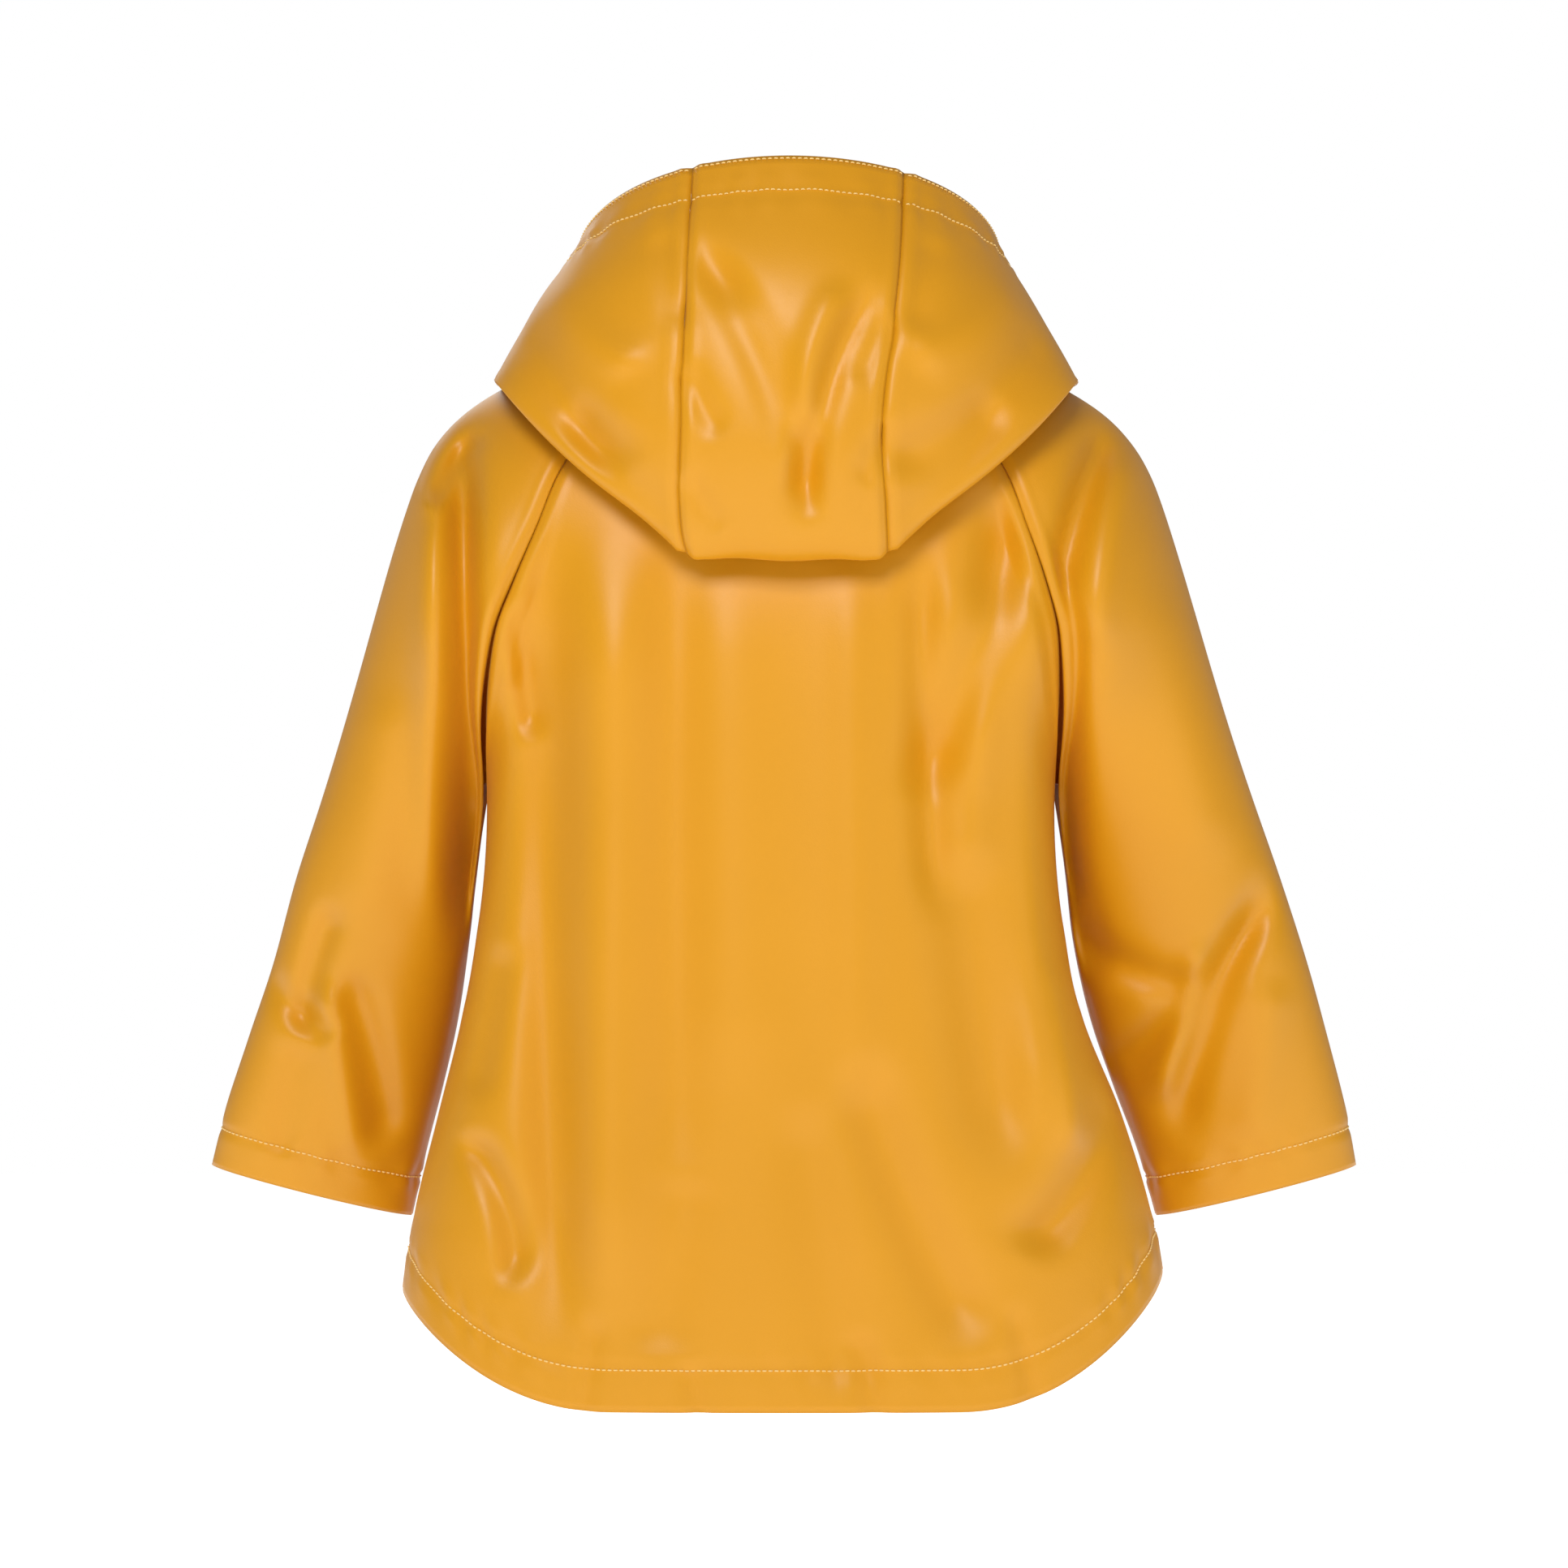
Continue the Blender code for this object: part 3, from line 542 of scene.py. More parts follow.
def sleeve_half(rows, face, side, along, around):
    """The sleeve's cloth from the raglan seam or the underarm (around 0) to its outer line
    (around 1), with x positive.  along counts the rows of the sleeve's tables."""
    last_seam = len(rows) - 1
    outer = follow_table(SLEEVE_OUTER, OUTER_COLUMNS, along)
    frame = seam_frame(rows, np.clip(along, 0, last_seam), face, side)
    inner = follow_table(SLEEVE_INNER, INNER_COLUMNS, np.clip(along - last_seam, 0, None))
    below = (along >= last_seam)[..., None]
    start = np.where(below, point(nearer(inner, side), inner["y"], inner["z"]), frame["at"])
    start = start + point(2 * SEAM_GAP * ease((along - 5) / 3), 0 * along, 0 * along)
    way = np.where(below, point(0, face, 0), frame["sleeve_way"])
    reach = np.where(along >= last_seam, inner["reach"], frame["sleeve_reach"])
    end = point(outer["x"] - outer["left_in"] * (side > 0), outer["y"], outer["z"])
    return bezier(
        start,
        start + way * reach[..., None],
        end + point(0, face * outer["reach"], 0),
        end,
        around,
    )


def sleeve_round(side, along, around):
    """The whole sleeve with x positive: around runs from the back seam (0) over the outer line
    (0.5) to the front seam (1)."""
    back = sleeve_half(BACK_SEAM, 1, side, along, np.clip(around * 2, 0, 1))
    front = sleeve_half(FRONT_SEAM, -1, side, along, np.clip(2 - around * 2, 0, 1))
    return np.where((around < 0.5)[..., None], back, front)


def sleeve_piece(side, along, around):
    """sleeve_round with its top edge on the neckline."""
    points = sleeve_round(side, along, around)
    top = sleeve_round(side, 0 * along, around)
    first = neck_angle(BACK_SEAM[0][0], True)
    last = neck_angle(FRONT_SEAM[0][0], False)
    return pulled_to_neck(points, top, first + (last - first) * around, along / 2.5)


# Hood


def hood_piece(up, angle):
    """The hood's cloth on the +X side.  up counts the rows of HOOD_RINGS, and the angle runs
    from the middle of the back to the front."""
    return ring_point(follow_table(HOOD_RINGS, RING_COLUMNS, up), angle)


def hood_angle(up, x, behind):
    """The angle at which the hood's ring is x from the middle."""
    half_width = follow(column(HOOD_RINGS, RING_COLUMNS, "half_width"), up)
    angle = np.arcsin(np.clip(x / half_width, 0, 1))
    return angle if behind else math.pi - angle


# Folds


def fold_shift(points, folds):
    """How far each point moves out of the cloth, from the strokes of a fold table."""
    shift = np.zeros_like(points[..., 0])
    for row in folds:
        fold = dict(zip(FOLD_COLUMNS, row))
        x = points[..., 0] - fold["x0"]
        z = points[..., 2] - fold["z0"]
        run = np.array([fold["x1"] - fold["x0"], fold["z1"] - fold["z0"]])
        length = np.hypot(*run)
        run = run / length
        along = (x * run[0] + z * run[1]) / length
        aside = -x * run[1] + z * run[0] - fold["bow"] * 4 * along * (1 - along)
        ends = ease(along / FOLD_TAPER + 0.5) * ease((1 - along) / FOLD_TAPER + 0.5)
        shift += fold["depth"] * ends * np.exp(-((aside / fold["width"]) ** 2) * HALF_DEPTH)
    return shift


# Cloth


def outward(grid, turned):
    """The direction out of the cloth at each point of a grid."""
    normal = np.cross(np.gradient(grid, axis=0), np.gradient(grid, axis=1))
    normal = normal / np.maximum(np.linalg.norm(normal, axis=-1, keepdims=True), 1e-9)
    return -normal if turned else normal


def from_edge(grid, axis, last):
    """How far each point is, along the cloth, from the first or the last row or column."""
    steps = np.linalg.norm(np.diff(grid, axis=axis), axis=-1)
    before = [(0, 0), (0, 0)]
    before[axis] = (1, 0)
    run = np.cumsum(np.pad(steps, before), axis=axis)
    return run.max(axis=axis, keepdims=True) - run if last else run


def slack(grid, amount):
    """The small uneven waves of cloth that nothing pulls tight."""
    x, y, z = grid[..., 0], grid[..., 1], grid[..., 2]
    long_wave = np.sin(x / 19 + 0.9 * np.sin(z / 61) + y / 37)
    short_wave = np.sin(z / 23 + 1.3 * np.sin(x / 31) + 1.1)
    return amount * (long_wave + 0.6 * short_wave)


def sewn(grid, turned, sizes, seams, hem, slack_size):
    """A grid with its seams sunk and its hem drawn in along the stitching.

    seams lists the edges that are sewn to another piece, as (axis, last) pairs, and hem is the
    pair of the turned edge.  Returns the grid, and how much of the hem's second layer lies
    behind each point.
    """
    normal = outward(grid, turned)
    near = from_edge(grid, *hem)
    shift = slack(grid, slack_size) * ease(near / HEM_SLACK_FADE)
    for seam in seams:
        away = from_edge(grid, *seam)
        sunk = SEAM_SINK * np.exp(-((away / SEAM_SINK_WIDTH) ** 2))
        rolled = SEAM_ROLL * np.exp(-(((away - SEAM_ROLL_AT) / SEAM_SINK_WIDTH) ** 2))
        shift = shift * ease(away / SLACK_FADE) - sunk + rolled
    along = from_edge(grid, 1 - hem[0], False)
    pucker = np.sin(along / 3.1 + 1.7 * np.sin(along / 13)) * (0.6 + 0.4 * np.sin(along / 29))
    from_stitches = near - sizes.hem_width / MM
    line = np.exp(-((from_stitches / STITCH_SINK_WIDTH) ** 2))
    drawn = np.exp(-((from_stitches / PUCKER_REACH) ** 2))
    shift = shift - STITCH_SINK * line
    shift = shift + sizes.pucker / MM * pucker * drawn * (1 - line * 0.7)
    second_layer = ease((HEM_STEP - from_stitches) / (2 * HEM_STEP))
    return grid + shift[..., None] * normal, second_layer


def softened(grid):
    """A grid with its rows rounded into each other near the underarm."""
    rows = np.arange(grid.shape[0])
    share = 0.5 * ease(1 - np.abs(rows - YOKE_ROWS) / SOFTENED_ROWS)[1:-1, None, None]
    grid = grid.copy()
    for _ in range(SOFTENED_PASSES):
        bend = 0.5 * (grid[:-2] + grid[2:]) - grid[1:-1]
        grid[1:-1] += share * bend
    return grid


def add_cloth(name, grid, turned, second_layer, sizes, welded_from=None):
    """One piece of cloth with its thickness, doubled where the hem is turned."""
    rows, columns = grid.shape[:2]
    weld = rows if welded_from is None else welded_from
    number = np.arange(rows * columns).reshape(rows, columns)
    number[weld:, -1] = number[weld:, 0]
    used, place = np.unique(number, return_inverse=True)
    place = place.reshape(rows, columns)
    points = grid.reshape(-1, 3)[used] * MM
    quads = np.stack([place[:-1, :-1], place[1:, :-1], place[1:, 1:], place[:-1, 1:]], axis=-1)
    quads = quads.reshape(-1, 4)
    if turned:
        quads = quads[:, ::-1]
    mesh = bpy.data.meshes.new(name)
    mesh.from_pydata(points.tolist(), [], quads.tolist())
    mesh.shade_smooth()
    cloth = bpy.data.objects.new(name, mesh)
    bpy.context.scene.collection.objects.link(cloth)
    doubled = cloth.vertex_groups.new(name="second_layer")
    weights = second_layer.reshape(-1)[used]
    for vertex in np.flatnonzero(weights > 0.01):
        doubled.add([int(vertex)], float(weights[vertex]), "REPLACE")
    wall = cloth.modifiers.new("cloth_thickness", "SOLIDIFY")
    wall.thickness = 2 * sizes.cloth_thickness
    wall.vertex_group = doubled.name
    wall.thickness_vertex_group = 0.5  # one layer of the two
    wall.offset = -1.0
    wall.use_even_offset = False
    return cloth


# Stitching


def line_on(grid, normal, near, target):
    """The line on the cloth that keeps a distance from an edge, and the way out of the cloth."""
    points = []
    ways = []
    for c in range(grid.shape[1]):
        order = np.argsort(near[:, c])
        at = near[order, c]
        points.append([np.interp(target, at, grid[order, c, k]) for k in range(3)])
        ways.append([np.interp(target, at, normal[order, c, k]) for k in range(3)])
    return np.array(points), np.array(ways)


def stitches_along(line, ways, sizes):
    """The rings of each stitch of one row of stitching."""
    run = np.concatenate([[0], np.cumsum(np.linalg.norm(np.diff(line, axis=0), axis=1))])
    pitch = sizes.stitch_pitch / MM
    half = 0.5 * sizes.stitch_length / MM
    radius = sizes.thread_radius / MM
    turn = np.arange(STITCH_SIDES) * 2 * math.pi / STITCH_SIDES
    rings = []
    for middle in np.arange(pitch, run[-1] - 0.5 * pitch, pitch):
        at = np.array([np.interp(middle, run, line[:, k]) for k in range(3)])
        ahead = np.array([np.interp(middle + 1, run, line[:, k]) for k in range(3)])
        out = np.array([np.interp(middle, run, ways[:, k]) for k in range(3)])
        way = (ahead - at) / max(np.linalg.norm(ahead - at), 1e-9)
        out = out / max(np.linalg.norm(out), 1e-9)
        side = np.cross(way, out)
        ring = side * np.cos(turn)[:, None] + out * np.sin(turn)[:, None]
        for step, thick, height in STITCH_OUTLINE:
            centre = at + way * half * step + out * radius * height
            rings.append(centre + ring * radius * thick)
    return rings


def add_stitches(name, lines, sizes):
    """All the stitching of one piece, as one mesh."""
    rings = [ring for line, ways in lines for ring in stitches_along(line, ways, sizes)]
    points = np.concatenate(rings) * MM
    faces = []
    for start in range(0, len(rings), STITCH_RINGS):
        first = start * STITCH_SIDES
        for r in range(STITCH_RINGS - 1):
            for k in range(STITCH_SIDES):
                a = first + r * STITCH_SIDES + k
                b = first + r * STITCH_SIDES + (k + 1) % STITCH_SIDES
                faces.append((a, b, b + STITCH_SIDES, a + STITCH_SIDES))
        last = first + (STITCH_RINGS - 1) * STITCH_SIDES
        faces.append(tuple(range(first, first + STITCH_SIDES))[::-1])
        faces.append(tuple(range(last, last + STITCH_SIDES)))
    mesh = bpy.data.meshes.new(name)
    mesh.from_pydata(points.tolist(), [], faces)
    mesh.shade_smooth()
    mesh.materials.append(thread_material(sizes))
    stitching = bpy.data.objects.new(name, mesh)
    bpy.context.scene.collection.objects.link(stitching)
    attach(stitching, "root")
    return stitching


# Materials


class Value:
    """A socket of a shader that can be used in sums."""

    def __init__(self, tree, socket):
        self.tree = tree
        self.socket = socket

    def math(self, operation, other):
        return self.tree.node("ShaderNodeMath", {"operation": operation}, {0: self, 1: other})

    def __add__(self, other):
        return self.math("ADD", other)

    __radd__ = __add__

    def __mul__(self, other):
        return self.math("MULTIPLY", other)

    __rmul__ = __mul__


class Tree:
    """The nodes of one material."""

    def __init__(self, name):
        self.material = bpy.data.materials.new(name)
        self.material.use_nodes = True
        self.nodes = self.material.node_tree.nodes
        self.links = self.material.node_tree.links
        self.shader = self.nodes["Principled BSDF"]

    def node(self, kind, settings, inputs, output=0):
        """Adds a node, with its settings first and then its sockets' values or links."""
        made = self.nodes.new(kind)
        for key, value in settings.items():
            setattr(made, key, value)
        self.feed(made, inputs)
        return Value(self, made.outputs[output])

    def feed(self, node, inputs):
        for key, value in inputs.items():
            if isinstance(value, Value):
                self.links.new(value.socket, node.inputs[key])
            else:
                node.inputs[key].default_value = value

    def place(self):
        """Where a point is on the coat, in metres."""
        return self.node("ShaderNodeTexCoord", {}, {}, "Object")

    def noise(self, place, scale, detail, roughness=0.5):
        inputs = {"Vector": place, "Scale": scale, "Detail": detail, "Roughness": roughness}
        return self.node("ShaderNodeTexNoise", {"noise_dimensions": "3D"}, inputs, "Fac")

    def mix(self, share, first, second):
        """A colour between two others; sockets 0, 6 and 7 are the share and the colours."""
        inputs = {0: share, 6: first, 7: second}
        return self.node("ShaderNodeMix", {"data_type": "RGBA"}, inputs, 2)


def shade(colour, factor):
    """A colour made lighter or darker."""
    return tuple(min(1.0, part * factor) for part in colour[:3]) + (1.0,)


def cloth_material(sizes):
    """Coated cloth: a smooth skin with a very fine grain over a knitted backing."""
    found = bpy.data.materials.get("raincoat_cloth")
    if found:
        return found
    tree = Tree("raincoat_cloth")
    place = tree.place()
    broad = tree.noise(place, 9.0, 2.0)
    fine = tree.noise(place, 950.0, 2.0, 0.6)
    grain = tree.node("ShaderNodeTexVoronoi", {}, {"Vector": place, "Scale": 1500.0}, "Distance")
    colour = tuple(sizes.cloth_colour)
    base = tree.mix(broad, shade(colour, 0.94), shade(colour, 1.05))
    base = tree.mix(fine * 0.16, base, shade(colour, 0.86))
    height = fine * 0.6 + grain * 0.4
    bump = tree.node("ShaderNodeBump", {}, {"Strength": 0.16, "Distance": 0.0003, "Height": height})
    tree.feed(tree.shader, {
        "Base Color": base,
        "Roughness": broad * 0.10 + fine * 0.08 + 0.33,
        "Normal": bump,
        "Specular IOR Level": 0.36,
        "Coat Weight": 0.06,
        "Coat Roughness": 0.38,
        "Sheen Weight": 0.02,
        "Sheen Roughness": 0.5,
    })
    return tree.material


def thread_material(sizes):
    """Twisted sewing thread, a little lighter than the cloth."""
    found = bpy.data.materials.get("raincoat_thread")
    if found:
        return found
    tree = Tree("raincoat_thread")
    place = tree.place()
    strands = tree.noise(place, 2400.0, 1.0)
    colour = tuple(sizes.thread_colour)
    tree.feed(tree.shader, {
        "Base Color": tree.mix(strands, shade(colour, 0.8), shade(colour, 1.1)),
        "Roughness": strands * 0.2 + 0.5,
        "Sheen Weight": 0.2,
        "Normal": tree.node("ShaderNodeBump", {}, {"Strength": 0.3, "Distance": 0.0002, "Height": strands}),
    })
    return tree.material


def snap_material(sizes):
    """Enamelled snap caps, dyed to match, with faint scuffs."""
    found = bpy.data.materials.get("raincoat_snap")
    if found:
        return found
    tree = Tree("raincoat_snap")
    scuffs = tree.noise(tree.place(), 600.0, 4.0, 0.7)
    colour = tuple(sizes.snap_colour)
    tree.feed(tree.shader, {
        "Base Color": tree.mix(scuffs, shade(colour, 0.92), shade(colour, 1.06)),
        "Roughness": scuffs * 0.2 + 0.18,
        "Coat Weight": 0.4,
        "Coat Roughness": 0.12,
    })
    return tree.material


def stage_material(sizes):
    """Matt white paper."""
    tree = Tree("studio_paper")
    place = tree.place()
    tooth = tree.noise(place, 60.0, 3.0)
    colour = tuple(sizes.stage_colour)
    tree.feed(tree.shader, {
        "Base Color": tree.mix(tooth, shade(colour, 0.995), shade(colour, 1.0)),
        "Roughness": 0.9,
        "Specular IOR Level": 0.1,
        "Emission Color": (1.0, 1.0, 1.0, 1.0),
        "Emission Strength": sizes.stage_glow,
    })
    return tree.material


# Pieces


def finish_cloth(name, grid, turned, seams, hem, lines, sizes, slack_size, weld=None):
    grid, second_layer = sewn(grid, turned, sizes, seams, hem, slack_size)
    cloth = add_cloth(f"{name}_cloth", grid, turned, second_layer, sizes, weld)
    cloth.data.materials.append(cloth_material(sizes))
    normal = outward(grid, turned)
    rows = []
    for axis, last, distance in lines:
        away = from_edge(grid, axis, last)
        if axis == 1:
            rows.append(line_on(np.swapaxes(grid, 0, 1), np.swapaxes(normal, 0, 1), away.T, distance))
        else:
            rows.append(line_on(grid, normal, away, distance))
    stitching = add_stitches(f"{name}_stitches", rows, sizes)
    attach(cloth, "root")
    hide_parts(name)
    return cloth


def stations(first, turn, last, rows_before, rows_after):
    """Row parameters from first to last, with one row exactly at the turn."""
    before = np.linspace(first, turn, rows_before + 1)[:-1]
    return np.concatenate([before, np.linspace(turn, last, rows_after + 1)])


def body_grid(first_column, columns):
    """The parameters of a body piece: down its rows and across its columns."""
    down = stations(0.0, 1, 2, YOKE_ROWS, SKIRT_ROWS)
    return np.meshgrid(down, np.linspace(first_column, 1, columns + 1), indexing="ij")


def hood_grid(first_column, columns):
    """The parameters of a hood panel: up its rows and across its columns."""
    up = np.linspace(0.02, len(HOOD_RINGS) - 1, HOOD_ROWS + 1)
    return np.meshgrid(up, np.linspace(first_column, 1, columns + 1), indexing="ij")


def mirrored(grid):
    """The same points on the -X side."""
    return grid * np.array([-1.0, 1.0, 1.0])


def both_sides(signed, right, left):
    """Points of the coat's right, mirrored, where signed is negative, and of its left elsewhere."""
    return np.where((signed < 0)[..., None], mirrored(right), left)


def make_back(sizes):
    """The back, one piece from side seam to side seam, between the raglan seams."""
    down, across = body_grid(-1, BACK_COLUMNS)
    share = np.abs(across) * BODY_EDGE
    right = body_piece(BACK_SEAM, 1, -1, down, share)
    grid = both_sides(across, right, body_piece(BACK_SEAM, 1, 1, down, share))
    grid = softened(grid)
    shift = sizes.fold_depth * fold_shift(grid, BACK_FOLDS) * ease((1 - share) / FOLD_FADE)
    grid = grid + shift[..., None] * np.array([0.0, 1.0, 0.0])
    hem = (0, True, sizes.hem_width / MM)
    finish_cloth(
        "back", grid, True, BOTH_SIDES_SEWN, (0, True), [hem], sizes, sizes.slack / MM,
    )


def front_grid(side, folds, sizes):
    """A front on its own side, running past the middle by the overlap."""
    down, share = body_grid(0, FRONT_COLUMNS)
    edge = body_half(FRONT_SEAM, -1, side, down, np.ones_like(down))[..., 0]
    start = -OVERLAP_HALF / (3 * BODY_SQUARENESS * edge)
    across = start + (BODY_EDGE - start) * share
    half = body_piece(FRONT_SEAM, -1, side, down, np.abs(across))
    grid = np.where((across < 0)[..., None], mirrored(half), half)
    strokes = fold_shift(mirrored(grid) if side < 0 else grid, folds)
    shift = sizes.fold_depth * strokes * ease((1 - across) / FOLD_FADE) * ease((grid[..., 0] - 20) / 25)
    return grid - shift[..., None] * np.array([0.0, 1.0, 0.0]), down


def front_lift(grid, down):
    """How the upper front is moved out where it lies on the lower one, more upwards at the top
    where the cloth slopes."""
    lift = OVERLAP_LIFT * ease((OVERLAP_HALF + 32 - grid[..., 0]) / 20)
    return lift[..., None] * point(0, -1, 0.6 * (1 - ease(down / 0.6)))


def make_fronts(sizes):
    """The two fronts; the wearer's left one closes over the right one."""
    hem = (0, True, sizes.hem_width / MM)
    closure = (1, False, sizes.hem_width / MM)
    edge = (1, False, CLOSURE_EDGE_STITCH)
    grid, down = front_grid(1, FRONT_FOLDS_LEFT, sizes)
    finish_cloth(
        "front_left", grid + front_lift(grid, down), False, [(1, True)], (0, True), [hem, closure, edge],
        sizes, 0.0,
    )
    grid, down = front_grid(-1, FRONT_FOLDS_RIGHT, sizes)
    finish_cloth(
        "front_right", mirrored(grid), True, [(1, True)], (0, True), [hem], sizes, 0.0,
    )


def make_sleeve(name, side, back_folds, front_folds, sizes):
    """A raglan sleeve: open along the raglan seams, and a closed tube below the armpit."""
    armpit = len(BACK_SEAM) - 1
    along = stations(0.0, armpit, len(SLEEVE_OUTER) - 1, YOKE_ROWS, ARM_ROWS)
    along, around = np.meshgrid(along, np.linspace(0, 1, SLEEVE_COLUMNS + 1), indexing="ij")
    inset = SLEEVE_EDGE * (1 - ease((along - armpit + 1.5) / 1.2))
    grid = sleeve_piece(side, along, inset + around * (1 - 2 * inset))
    grid = softened(grid)
    if side < 0:
        grid = mirrored(grid)
    behind = fold_shift(grid, back_folds) * ease(around / 0.06) * ease((0.5 - around) / 0.10)
    ahead = fold_shift(grid, front_folds) * ease((1 - around) / 0.06) * ease((around - 0.5) / 0.10)
    shift = sizes.fold_depth * (behind - ahead) * ease((len(SLEEVE_OUTER) - 1 - along) / 0.8)
    grid = grid + shift[..., None] * np.array([0.0, 1.0, 0.0])
    cuff = (0, True, sizes.hem_width / MM)
    finish_cloth(
        name, grid, side > 0, BOTH_SIDES_SEWN, (0, True), [cuff], sizes, sizes.slack / MM,
        weld=YOKE_ROWS,
    )


def hood_seam_angle(side, up):
    """The angle of the middle panel's seam on its ring."""
    seam_x = follow(column(HOOD_RINGS, RING_COLUMNS, "left_x" if side > 0 else "right_x"), up)
    return hood_angle(up, seam_x, True)


def hood_shaped(grid, up, sizes):
    """The hood's lean, and the folds on its outer part."""
    lean = follow(column(HOOD_RINGS, RING_COLUMNS, "lean"), up)
    outer = ease(up - 4.3) * ease((grid[..., 1] - 10) / 40)
    shift = sizes.fold_depth * fold_shift(grid, HOOD_FOLDS) * outer
    from_corner = (np.abs(grid[..., 0]) - HOOD_CORNER_X) / HOOD_CORNER_WIDTH
    corner = np.exp(-(from_corner**2)) * ease((grid[..., 1] - 60) / 30)
    low = np.exp(-(((up - HOOD_FOLD_ROW) / 0.9) ** 2))
    return grid + point(lean, shift, -HOOD_CORNER_DROP * corner * low)


def make_hood(sizes):
    """The hood's three panels, lying down on the back as an open bag."""
    face = (0, True)
    lines = [(0, True, sizes.hem_width / MM), (0, True, HEM_EDGE_STITCH)]
    up, share = hood_grid(-1, HOOD_MIDDLE_COLUMNS)
    left = hood_piece(up, np.abs(share) * hood_seam_angle(1, up))
    right = hood_piece(up, np.abs(share) * hood_seam_angle(-1, up))
    grid = hood_shaped(both_sides(share, right, left), up, sizes)
    finish_cloth(
        "hood_middle", grid, False, BOTH_SIDES_SEWN, face, lines, sizes, sizes.slack / MM,
    )
    for name, side in (("hood_left", 1), ("hood_right", -1)):
        up, share = hood_grid(0, HOOD_SIDE_COLUMNS)
        first = hood_seam_angle(side, up)
        last = hood_angle(up, OVERLAP_HALF + 1, False)
        grid = hood_piece(up, first + (last - first) * share)
        if side < 0:
            grid = mirrored(grid)
        grid = hood_shaped(grid, up, sizes)
        finish_cloth(
            name, grid, side < 0, [(1, False)], face, lines, sizes, sizes.slack / MM,
        )


def make_snap(number, sizes):
    """One snap cap: a low dome with a rolled rim, on the centre line of the upper front."""
    name = f"snap_{number + 1}"
    low, high = (np.array(corner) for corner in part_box(name))
    share = number / (SNAP_COUNT - 1)
    z = SNAP_TOP_Z + (SNAP_BOTTOM_Z - SNAP_TOP_Z) * share
    lean = math.atan(float(at_height("front_y", z - 1) - at_height("front_y", z + 1)) / 2)
    turn = np.linspace(0, 2 * math.pi, SNAP_TURNS, endpoint=False)
    points = [
        (SNAP_RADIUS * r * math.cos(a) * MM, SNAP_RADIUS * r * math.sin(a) * MM, SNAP_HEIGHT * h * MM)
        for r, h in SNAP_OUTLINE
        for a in turn
    ]
    top = len(points) - SNAP_TURNS
    faces = [tuple(range(SNAP_TURNS))[::-1], tuple(range(top, top + SNAP_TURNS))]
    for start in range(0, top, SNAP_TURNS):
        for k in range(SNAP_TURNS):
            other = (k + 1) % SNAP_TURNS
            faces.append((start + k, start + other, start + SNAP_TURNS + other, start + SNAP_TURNS + k))
    mesh = bpy.data.meshes.new(f"{name}_cap")
    mesh.from_pydata(points, [], faces)
    mesh.shade_smooth()
    mesh.materials.append(snap_material(sizes))
    cap = bpy.data.objects.new(mesh.name, mesh)
    bpy.context.scene.collection.objects.link(cap)
    out = OVERLAP_LIFT / math.cos(lean) + SNAP_SUNK
    away = np.array([0.0, -math.cos(lean), -math.sin(lean)])
    middle = np.array([0.0, float(at_height("front_y", z)), z]) + away * out
    cap.location = tuple(middle * MM)
    cap.rotation_euler = (math.pi / 2 + lean, 0.0, 0.0)
    if not np.all(np.abs((low + high) / 2 - middle * MM) < SNAP_TOLERANCE):
        raise RuntimeError(f"{name} is away from its place in the frame")
    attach(cap, "root")
    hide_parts(name)


# Stage


def add_light(name, place, size, energy, aim):
    """A large soft light that looks at the coat."""
    light = bpy.data.lights.new(name, "AREA")
    light.shape = "RECTANGLE"
    light.size, light.size_y = size
    light.energy = energy
    lamp = bpy.data.objects.new(name, light)
    lamp.location = place
    away = np.array(place) - np.array(aim)
    across = math.hypot(away[0], away[1])
    lamp.rotation_euler = (math.atan2(across, away[2]), 0.0, math.atan2(away[0], -away[1]))
    bpy.context.scene.collection.objects.link(lamp)


def make_stage(sizes):
    """A white floor, an even white surround, soft lights and the camera."""
    level = CAD_BOX[0][2] - sizes.floor_drop
    turns = ((-1, -1), (1, -1), (1, 1), (-1, 1))
    corners = [(FLOOR_HALF * x, FLOOR_HALF * y, level) for x, y in turns]
    mesh = bpy.data.meshes.new("studio_floor")
    mesh.from_pydata(corners, [], [(0, 1, 2, 3)])
    mesh.materials.append(stage_material(sizes))
    floor = bpy.data.objects.new("studio_floor", mesh)
    bpy.context.scene.collection.objects.link(floor)
    aim = (0.0, 0.0, CAMERA_Z)
    for name, place, size, share in LIGHTS:
        add_light(name, place, size, sizes.key_light * share, aim)
    world = bpy.data.worlds.new("studio_world")
    world.use_nodes = True
    nodes, links = world.node_tree.nodes, world.node_tree.links
    around = nodes["Background"]
    around.inputs["Color"].default_value = (1.0, 1.0, 1.0, 1.0)
    around.inputs["Strength"].default_value = sizes.surround
    white = nodes.new("ShaderNodeBackground")
    white.inputs["Color"].default_value = (1.0, 1.0, 1.0, 1.0)
    seen = nodes.new("ShaderNodeLightPath")
    mixed = nodes.new("ShaderNodeMixShader")
    links.new(seen.outputs["Is Camera Ray"], mixed.inputs[0])
    links.new(around.outputs[0], mixed.inputs[1])
    links.new(white.outputs[0], mixed.inputs[2])
    links.new(mixed.outputs[0], nodes["World Output"].inputs["Surface"])
    bpy.context.scene.world = world
    bpy.context.scene.view_settings.view_transform = "Standard"
    lens = bpy.data.cameras.new("camera")
    lens.lens = 135
    lens.sensor_width = 36
    camera = bpy.data.objects.new("camera", lens)
    camera.location = (0.0, CAMERA_Y, CAMERA_Z)
    camera.rotation_euler = (math.pi / 2, 0.0, math.pi)
    bpy.context.scene.collection.objects.link(camera)
    bpy.context.scene.camera = camera


# Properties, operators and panel


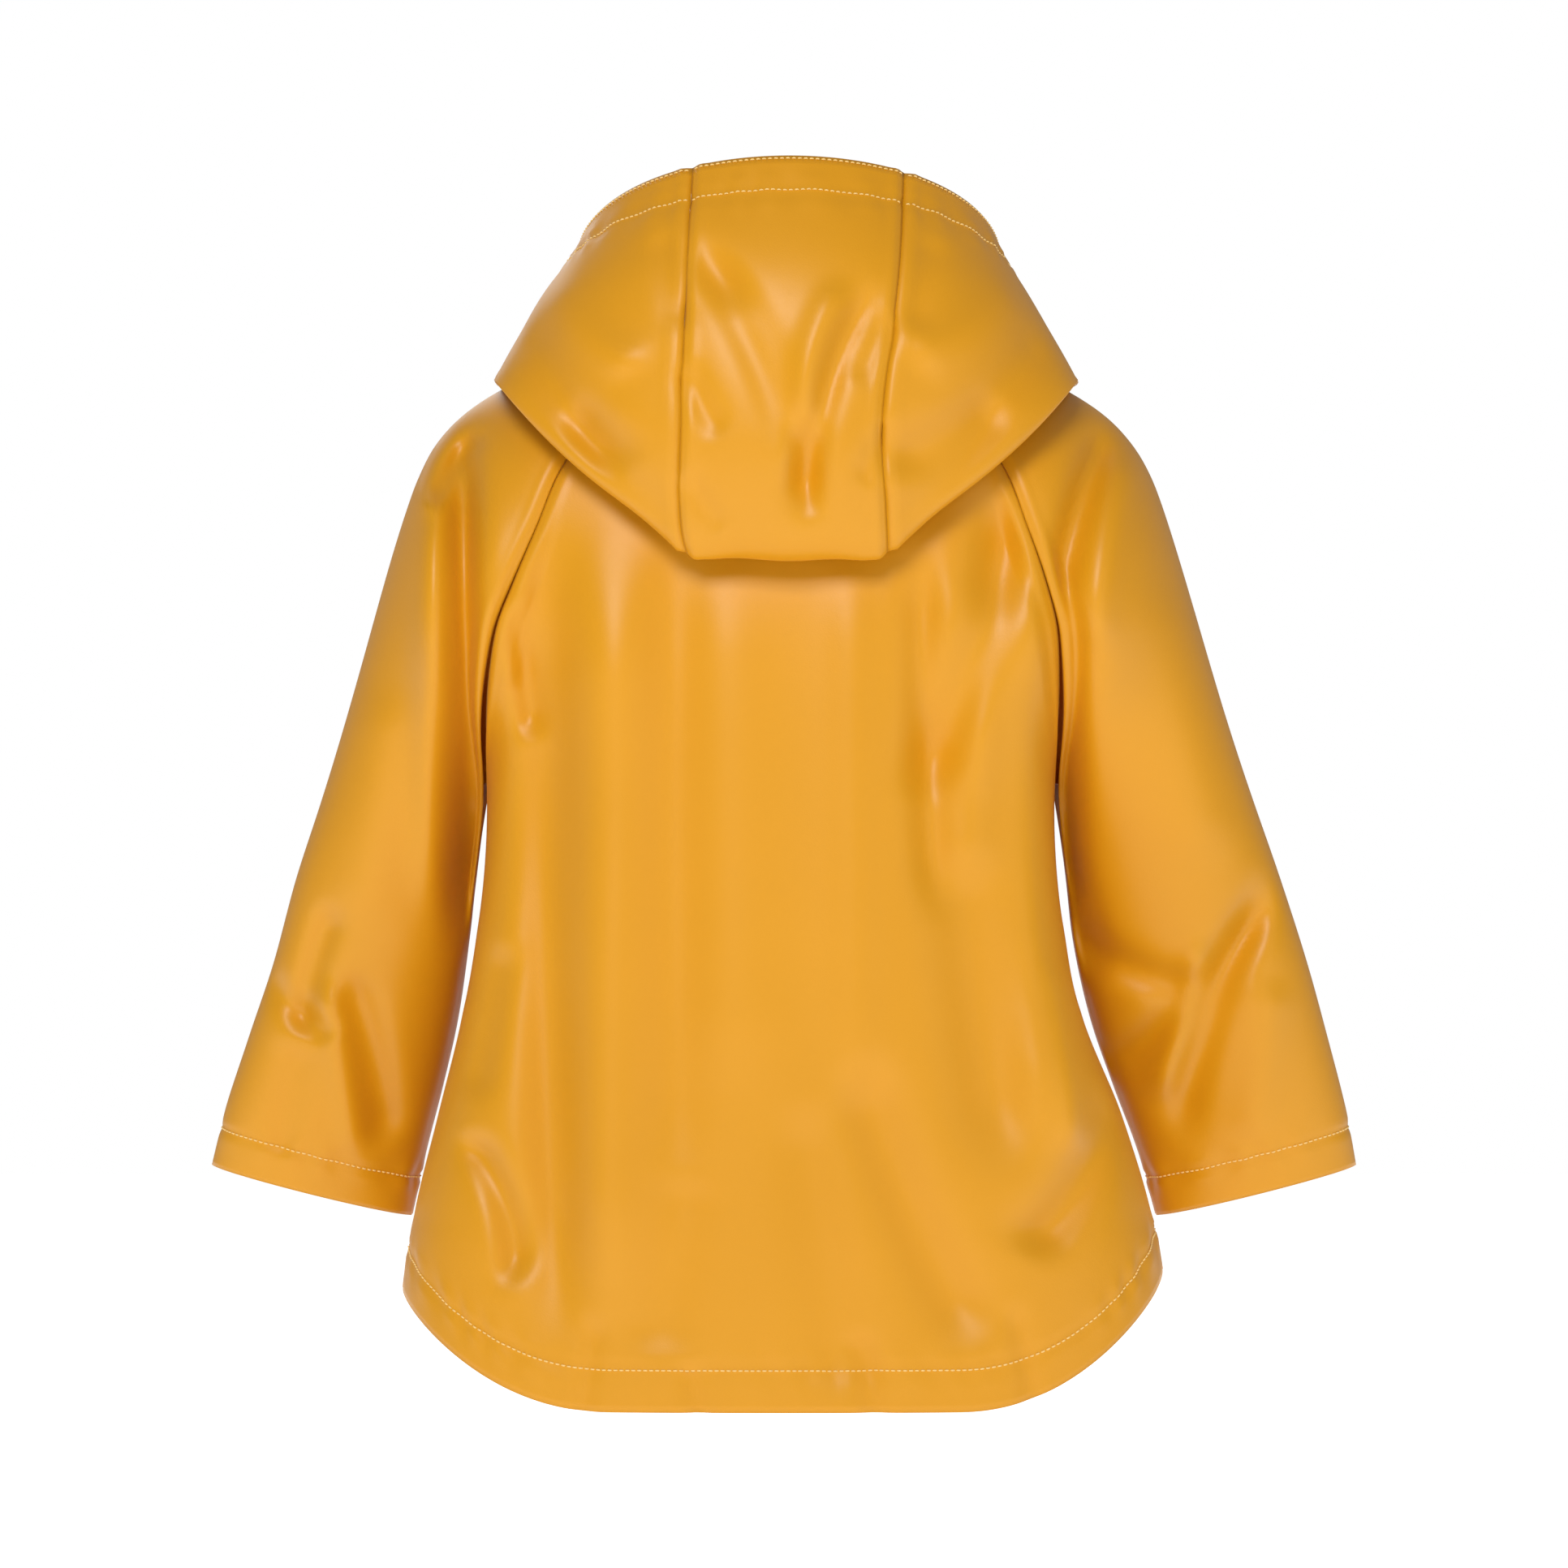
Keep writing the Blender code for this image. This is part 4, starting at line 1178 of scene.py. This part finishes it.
def length(name, description, default):
    """A length in metres that the user can change."""
    return bpy.props.FloatProperty(
        name=name, description=description, default=default, min=0.0, unit="LENGTH", precision=5
    )


def colour(name, description, default):
    """A colour that the user can change."""
    return bpy.props.FloatVectorProperty(
        name=name, description=description, default=default, subtype="COLOR", size=4, min=0.0, max=1.0
    )


class RaincoatSettings(bpy.types.PropertyGroup):
    """Sizes and colours of the coat and its stage."""

    cloth_thickness: length("Cloth", "Thickness of the coated cloth", CLOTH * MM)
    hem_width: length("Hem", "How far the hems are turned up", 0.020)
    stitch_pitch: length("Stitch pitch", "From one stitch to the next", 0.00285)
    stitch_length: length("Stitch length", "Length of one stitch", 0.0021)
    thread_radius: length("Thread", "Radius of the sewing thread", 0.00042)
    pucker: length("Pucker", "How far the cloth puckers beside the stitching", 0.0010)
    slack: length("Slack", "Height of the small waves in the cloth", 0.0003)
    fold_depth: bpy.props.FloatProperty(name="Folds", description="Depth of the folds", default=1.7)
    cloth_colour: colour("Cloth", "Colour of the cloth", (0.67, 0.290, 0.004, 1.0))
    thread_colour: colour("Thread", "Colour of the thread", (0.95, 0.62, 0.20, 1.0))
    snap_colour: colour("Snaps", "Colour of the snap caps", (0.74, 0.33, 0.03, 1.0))
    stage_colour: colour("Stage", "Colour of the floor", (0.92, 0.92, 0.92, 1.0))
    stage_glow: bpy.props.FloatProperty(name="Glow", description="Light of the floor", default=0.80)
    floor_drop: length("Floor", "How far the floor is below the hem", 0.16)
    key_light: bpy.props.FloatProperty(name="Light", description="Power of the main light", default=32.0)
    surround: bpy.props.FloatProperty(name="Surround", description="Light from all round", default=0.26)


class RAINCOAT_OT_back(bpy.types.Operator):
    """Make the back of the coat"""

    bl_idname = "raincoat.back"
    bl_label = "Back"

    def execute(self, context):
        make_back(context.scene.raincoat)
        return {"FINISHED"}


class RAINCOAT_OT_fronts(bpy.types.Operator):
    """Make the two fronts, which overlap down the centre"""

    bl_idname = "raincoat.fronts"
    bl_label = "Fronts"

    def execute(self, context):
        make_fronts(context.scene.raincoat)
        return {"FINISHED"}


class RAINCOAT_OT_sleeves(bpy.types.Operator):
    """Make the raglan sleeves"""

    bl_idname = "raincoat.sleeves"
    bl_label = "Sleeves"

    def execute(self, context):
        sizes = context.scene.raincoat
        make_sleeve("sleeve_left", 1, SLEEVE_BACK_FOLDS_LEFT, SLEEVE_FRONT_FOLDS_LEFT, sizes)
        make_sleeve("sleeve_right", -1, SLEEVE_BACK_FOLDS_RIGHT, SLEEVE_FRONT_FOLDS_RIGHT, sizes)
        return {"FINISHED"}


class RAINCOAT_OT_hood(bpy.types.Operator):
    """Make the three panels of the hood"""

    bl_idname = "raincoat.hood"
    bl_label = "Hood"

    def execute(self, context):
        make_hood(context.scene.raincoat)
        return {"FINISHED"}


class RAINCOAT_OT_snaps(bpy.types.Operator):
    """Make the snap caps of the closure"""

    bl_idname = "raincoat.snaps"
    bl_label = "Snaps"

    def execute(self, context):
        for number in range(SNAP_COUNT):
            make_snap(number, context.scene.raincoat)
        return {"FINISHED"}


class RAINCOAT_OT_stage(bpy.types.Operator):
    """Make the white floor, the lights and the camera"""

    bl_idname = "raincoat.stage"
    bl_label = "Stage"

    def execute(self, context):
        make_stage(context.scene.raincoat)
        return {"FINISHED"}


OPERATORS = (
    RAINCOAT_OT_back,
    RAINCOAT_OT_fronts,
    RAINCOAT_OT_sleeves,
    RAINCOAT_OT_hood,
    RAINCOAT_OT_snaps,
    RAINCOAT_OT_stage,
)


class RAINCOAT_PT_pieces(bpy.types.Panel):
    """The pieces of the coat, in the 3D view's sidebar"""

    bl_idname = "RAINCOAT_PT_pieces"
    bl_label = "Raincoat"
    bl_space_type = "VIEW_3D"
    bl_region_type = "UI"
    bl_category = "Raincoat"

    def draw(self, context):
        for name in RaincoatSettings.__annotations__:
            self.layout.prop(context.scene.raincoat, name)
        for operator in OPERATORS:
            self.layout.operator(operator.bl_idname)


CLASSES = (RaincoatSettings, *OPERATORS, RAINCOAT_PT_pieces)


def register():
    for each in CLASSES:
        bpy.utils.register_class(each)
    bpy.types.Scene.raincoat = bpy.props.PointerProperty(type=RaincoatSettings)


def unregister():
    del bpy.types.Scene.raincoat
    for each in reversed(CLASSES):
        bpy.utils.unregister_class(each)


def main():
    register()
    for operator in OPERATORS:
        group, name = operator.bl_idname.split(".")
        getattr(getattr(bpy.ops, group), name)()
    bpy.context.view_layer.update()


if __name__ == "__main__":
    main()
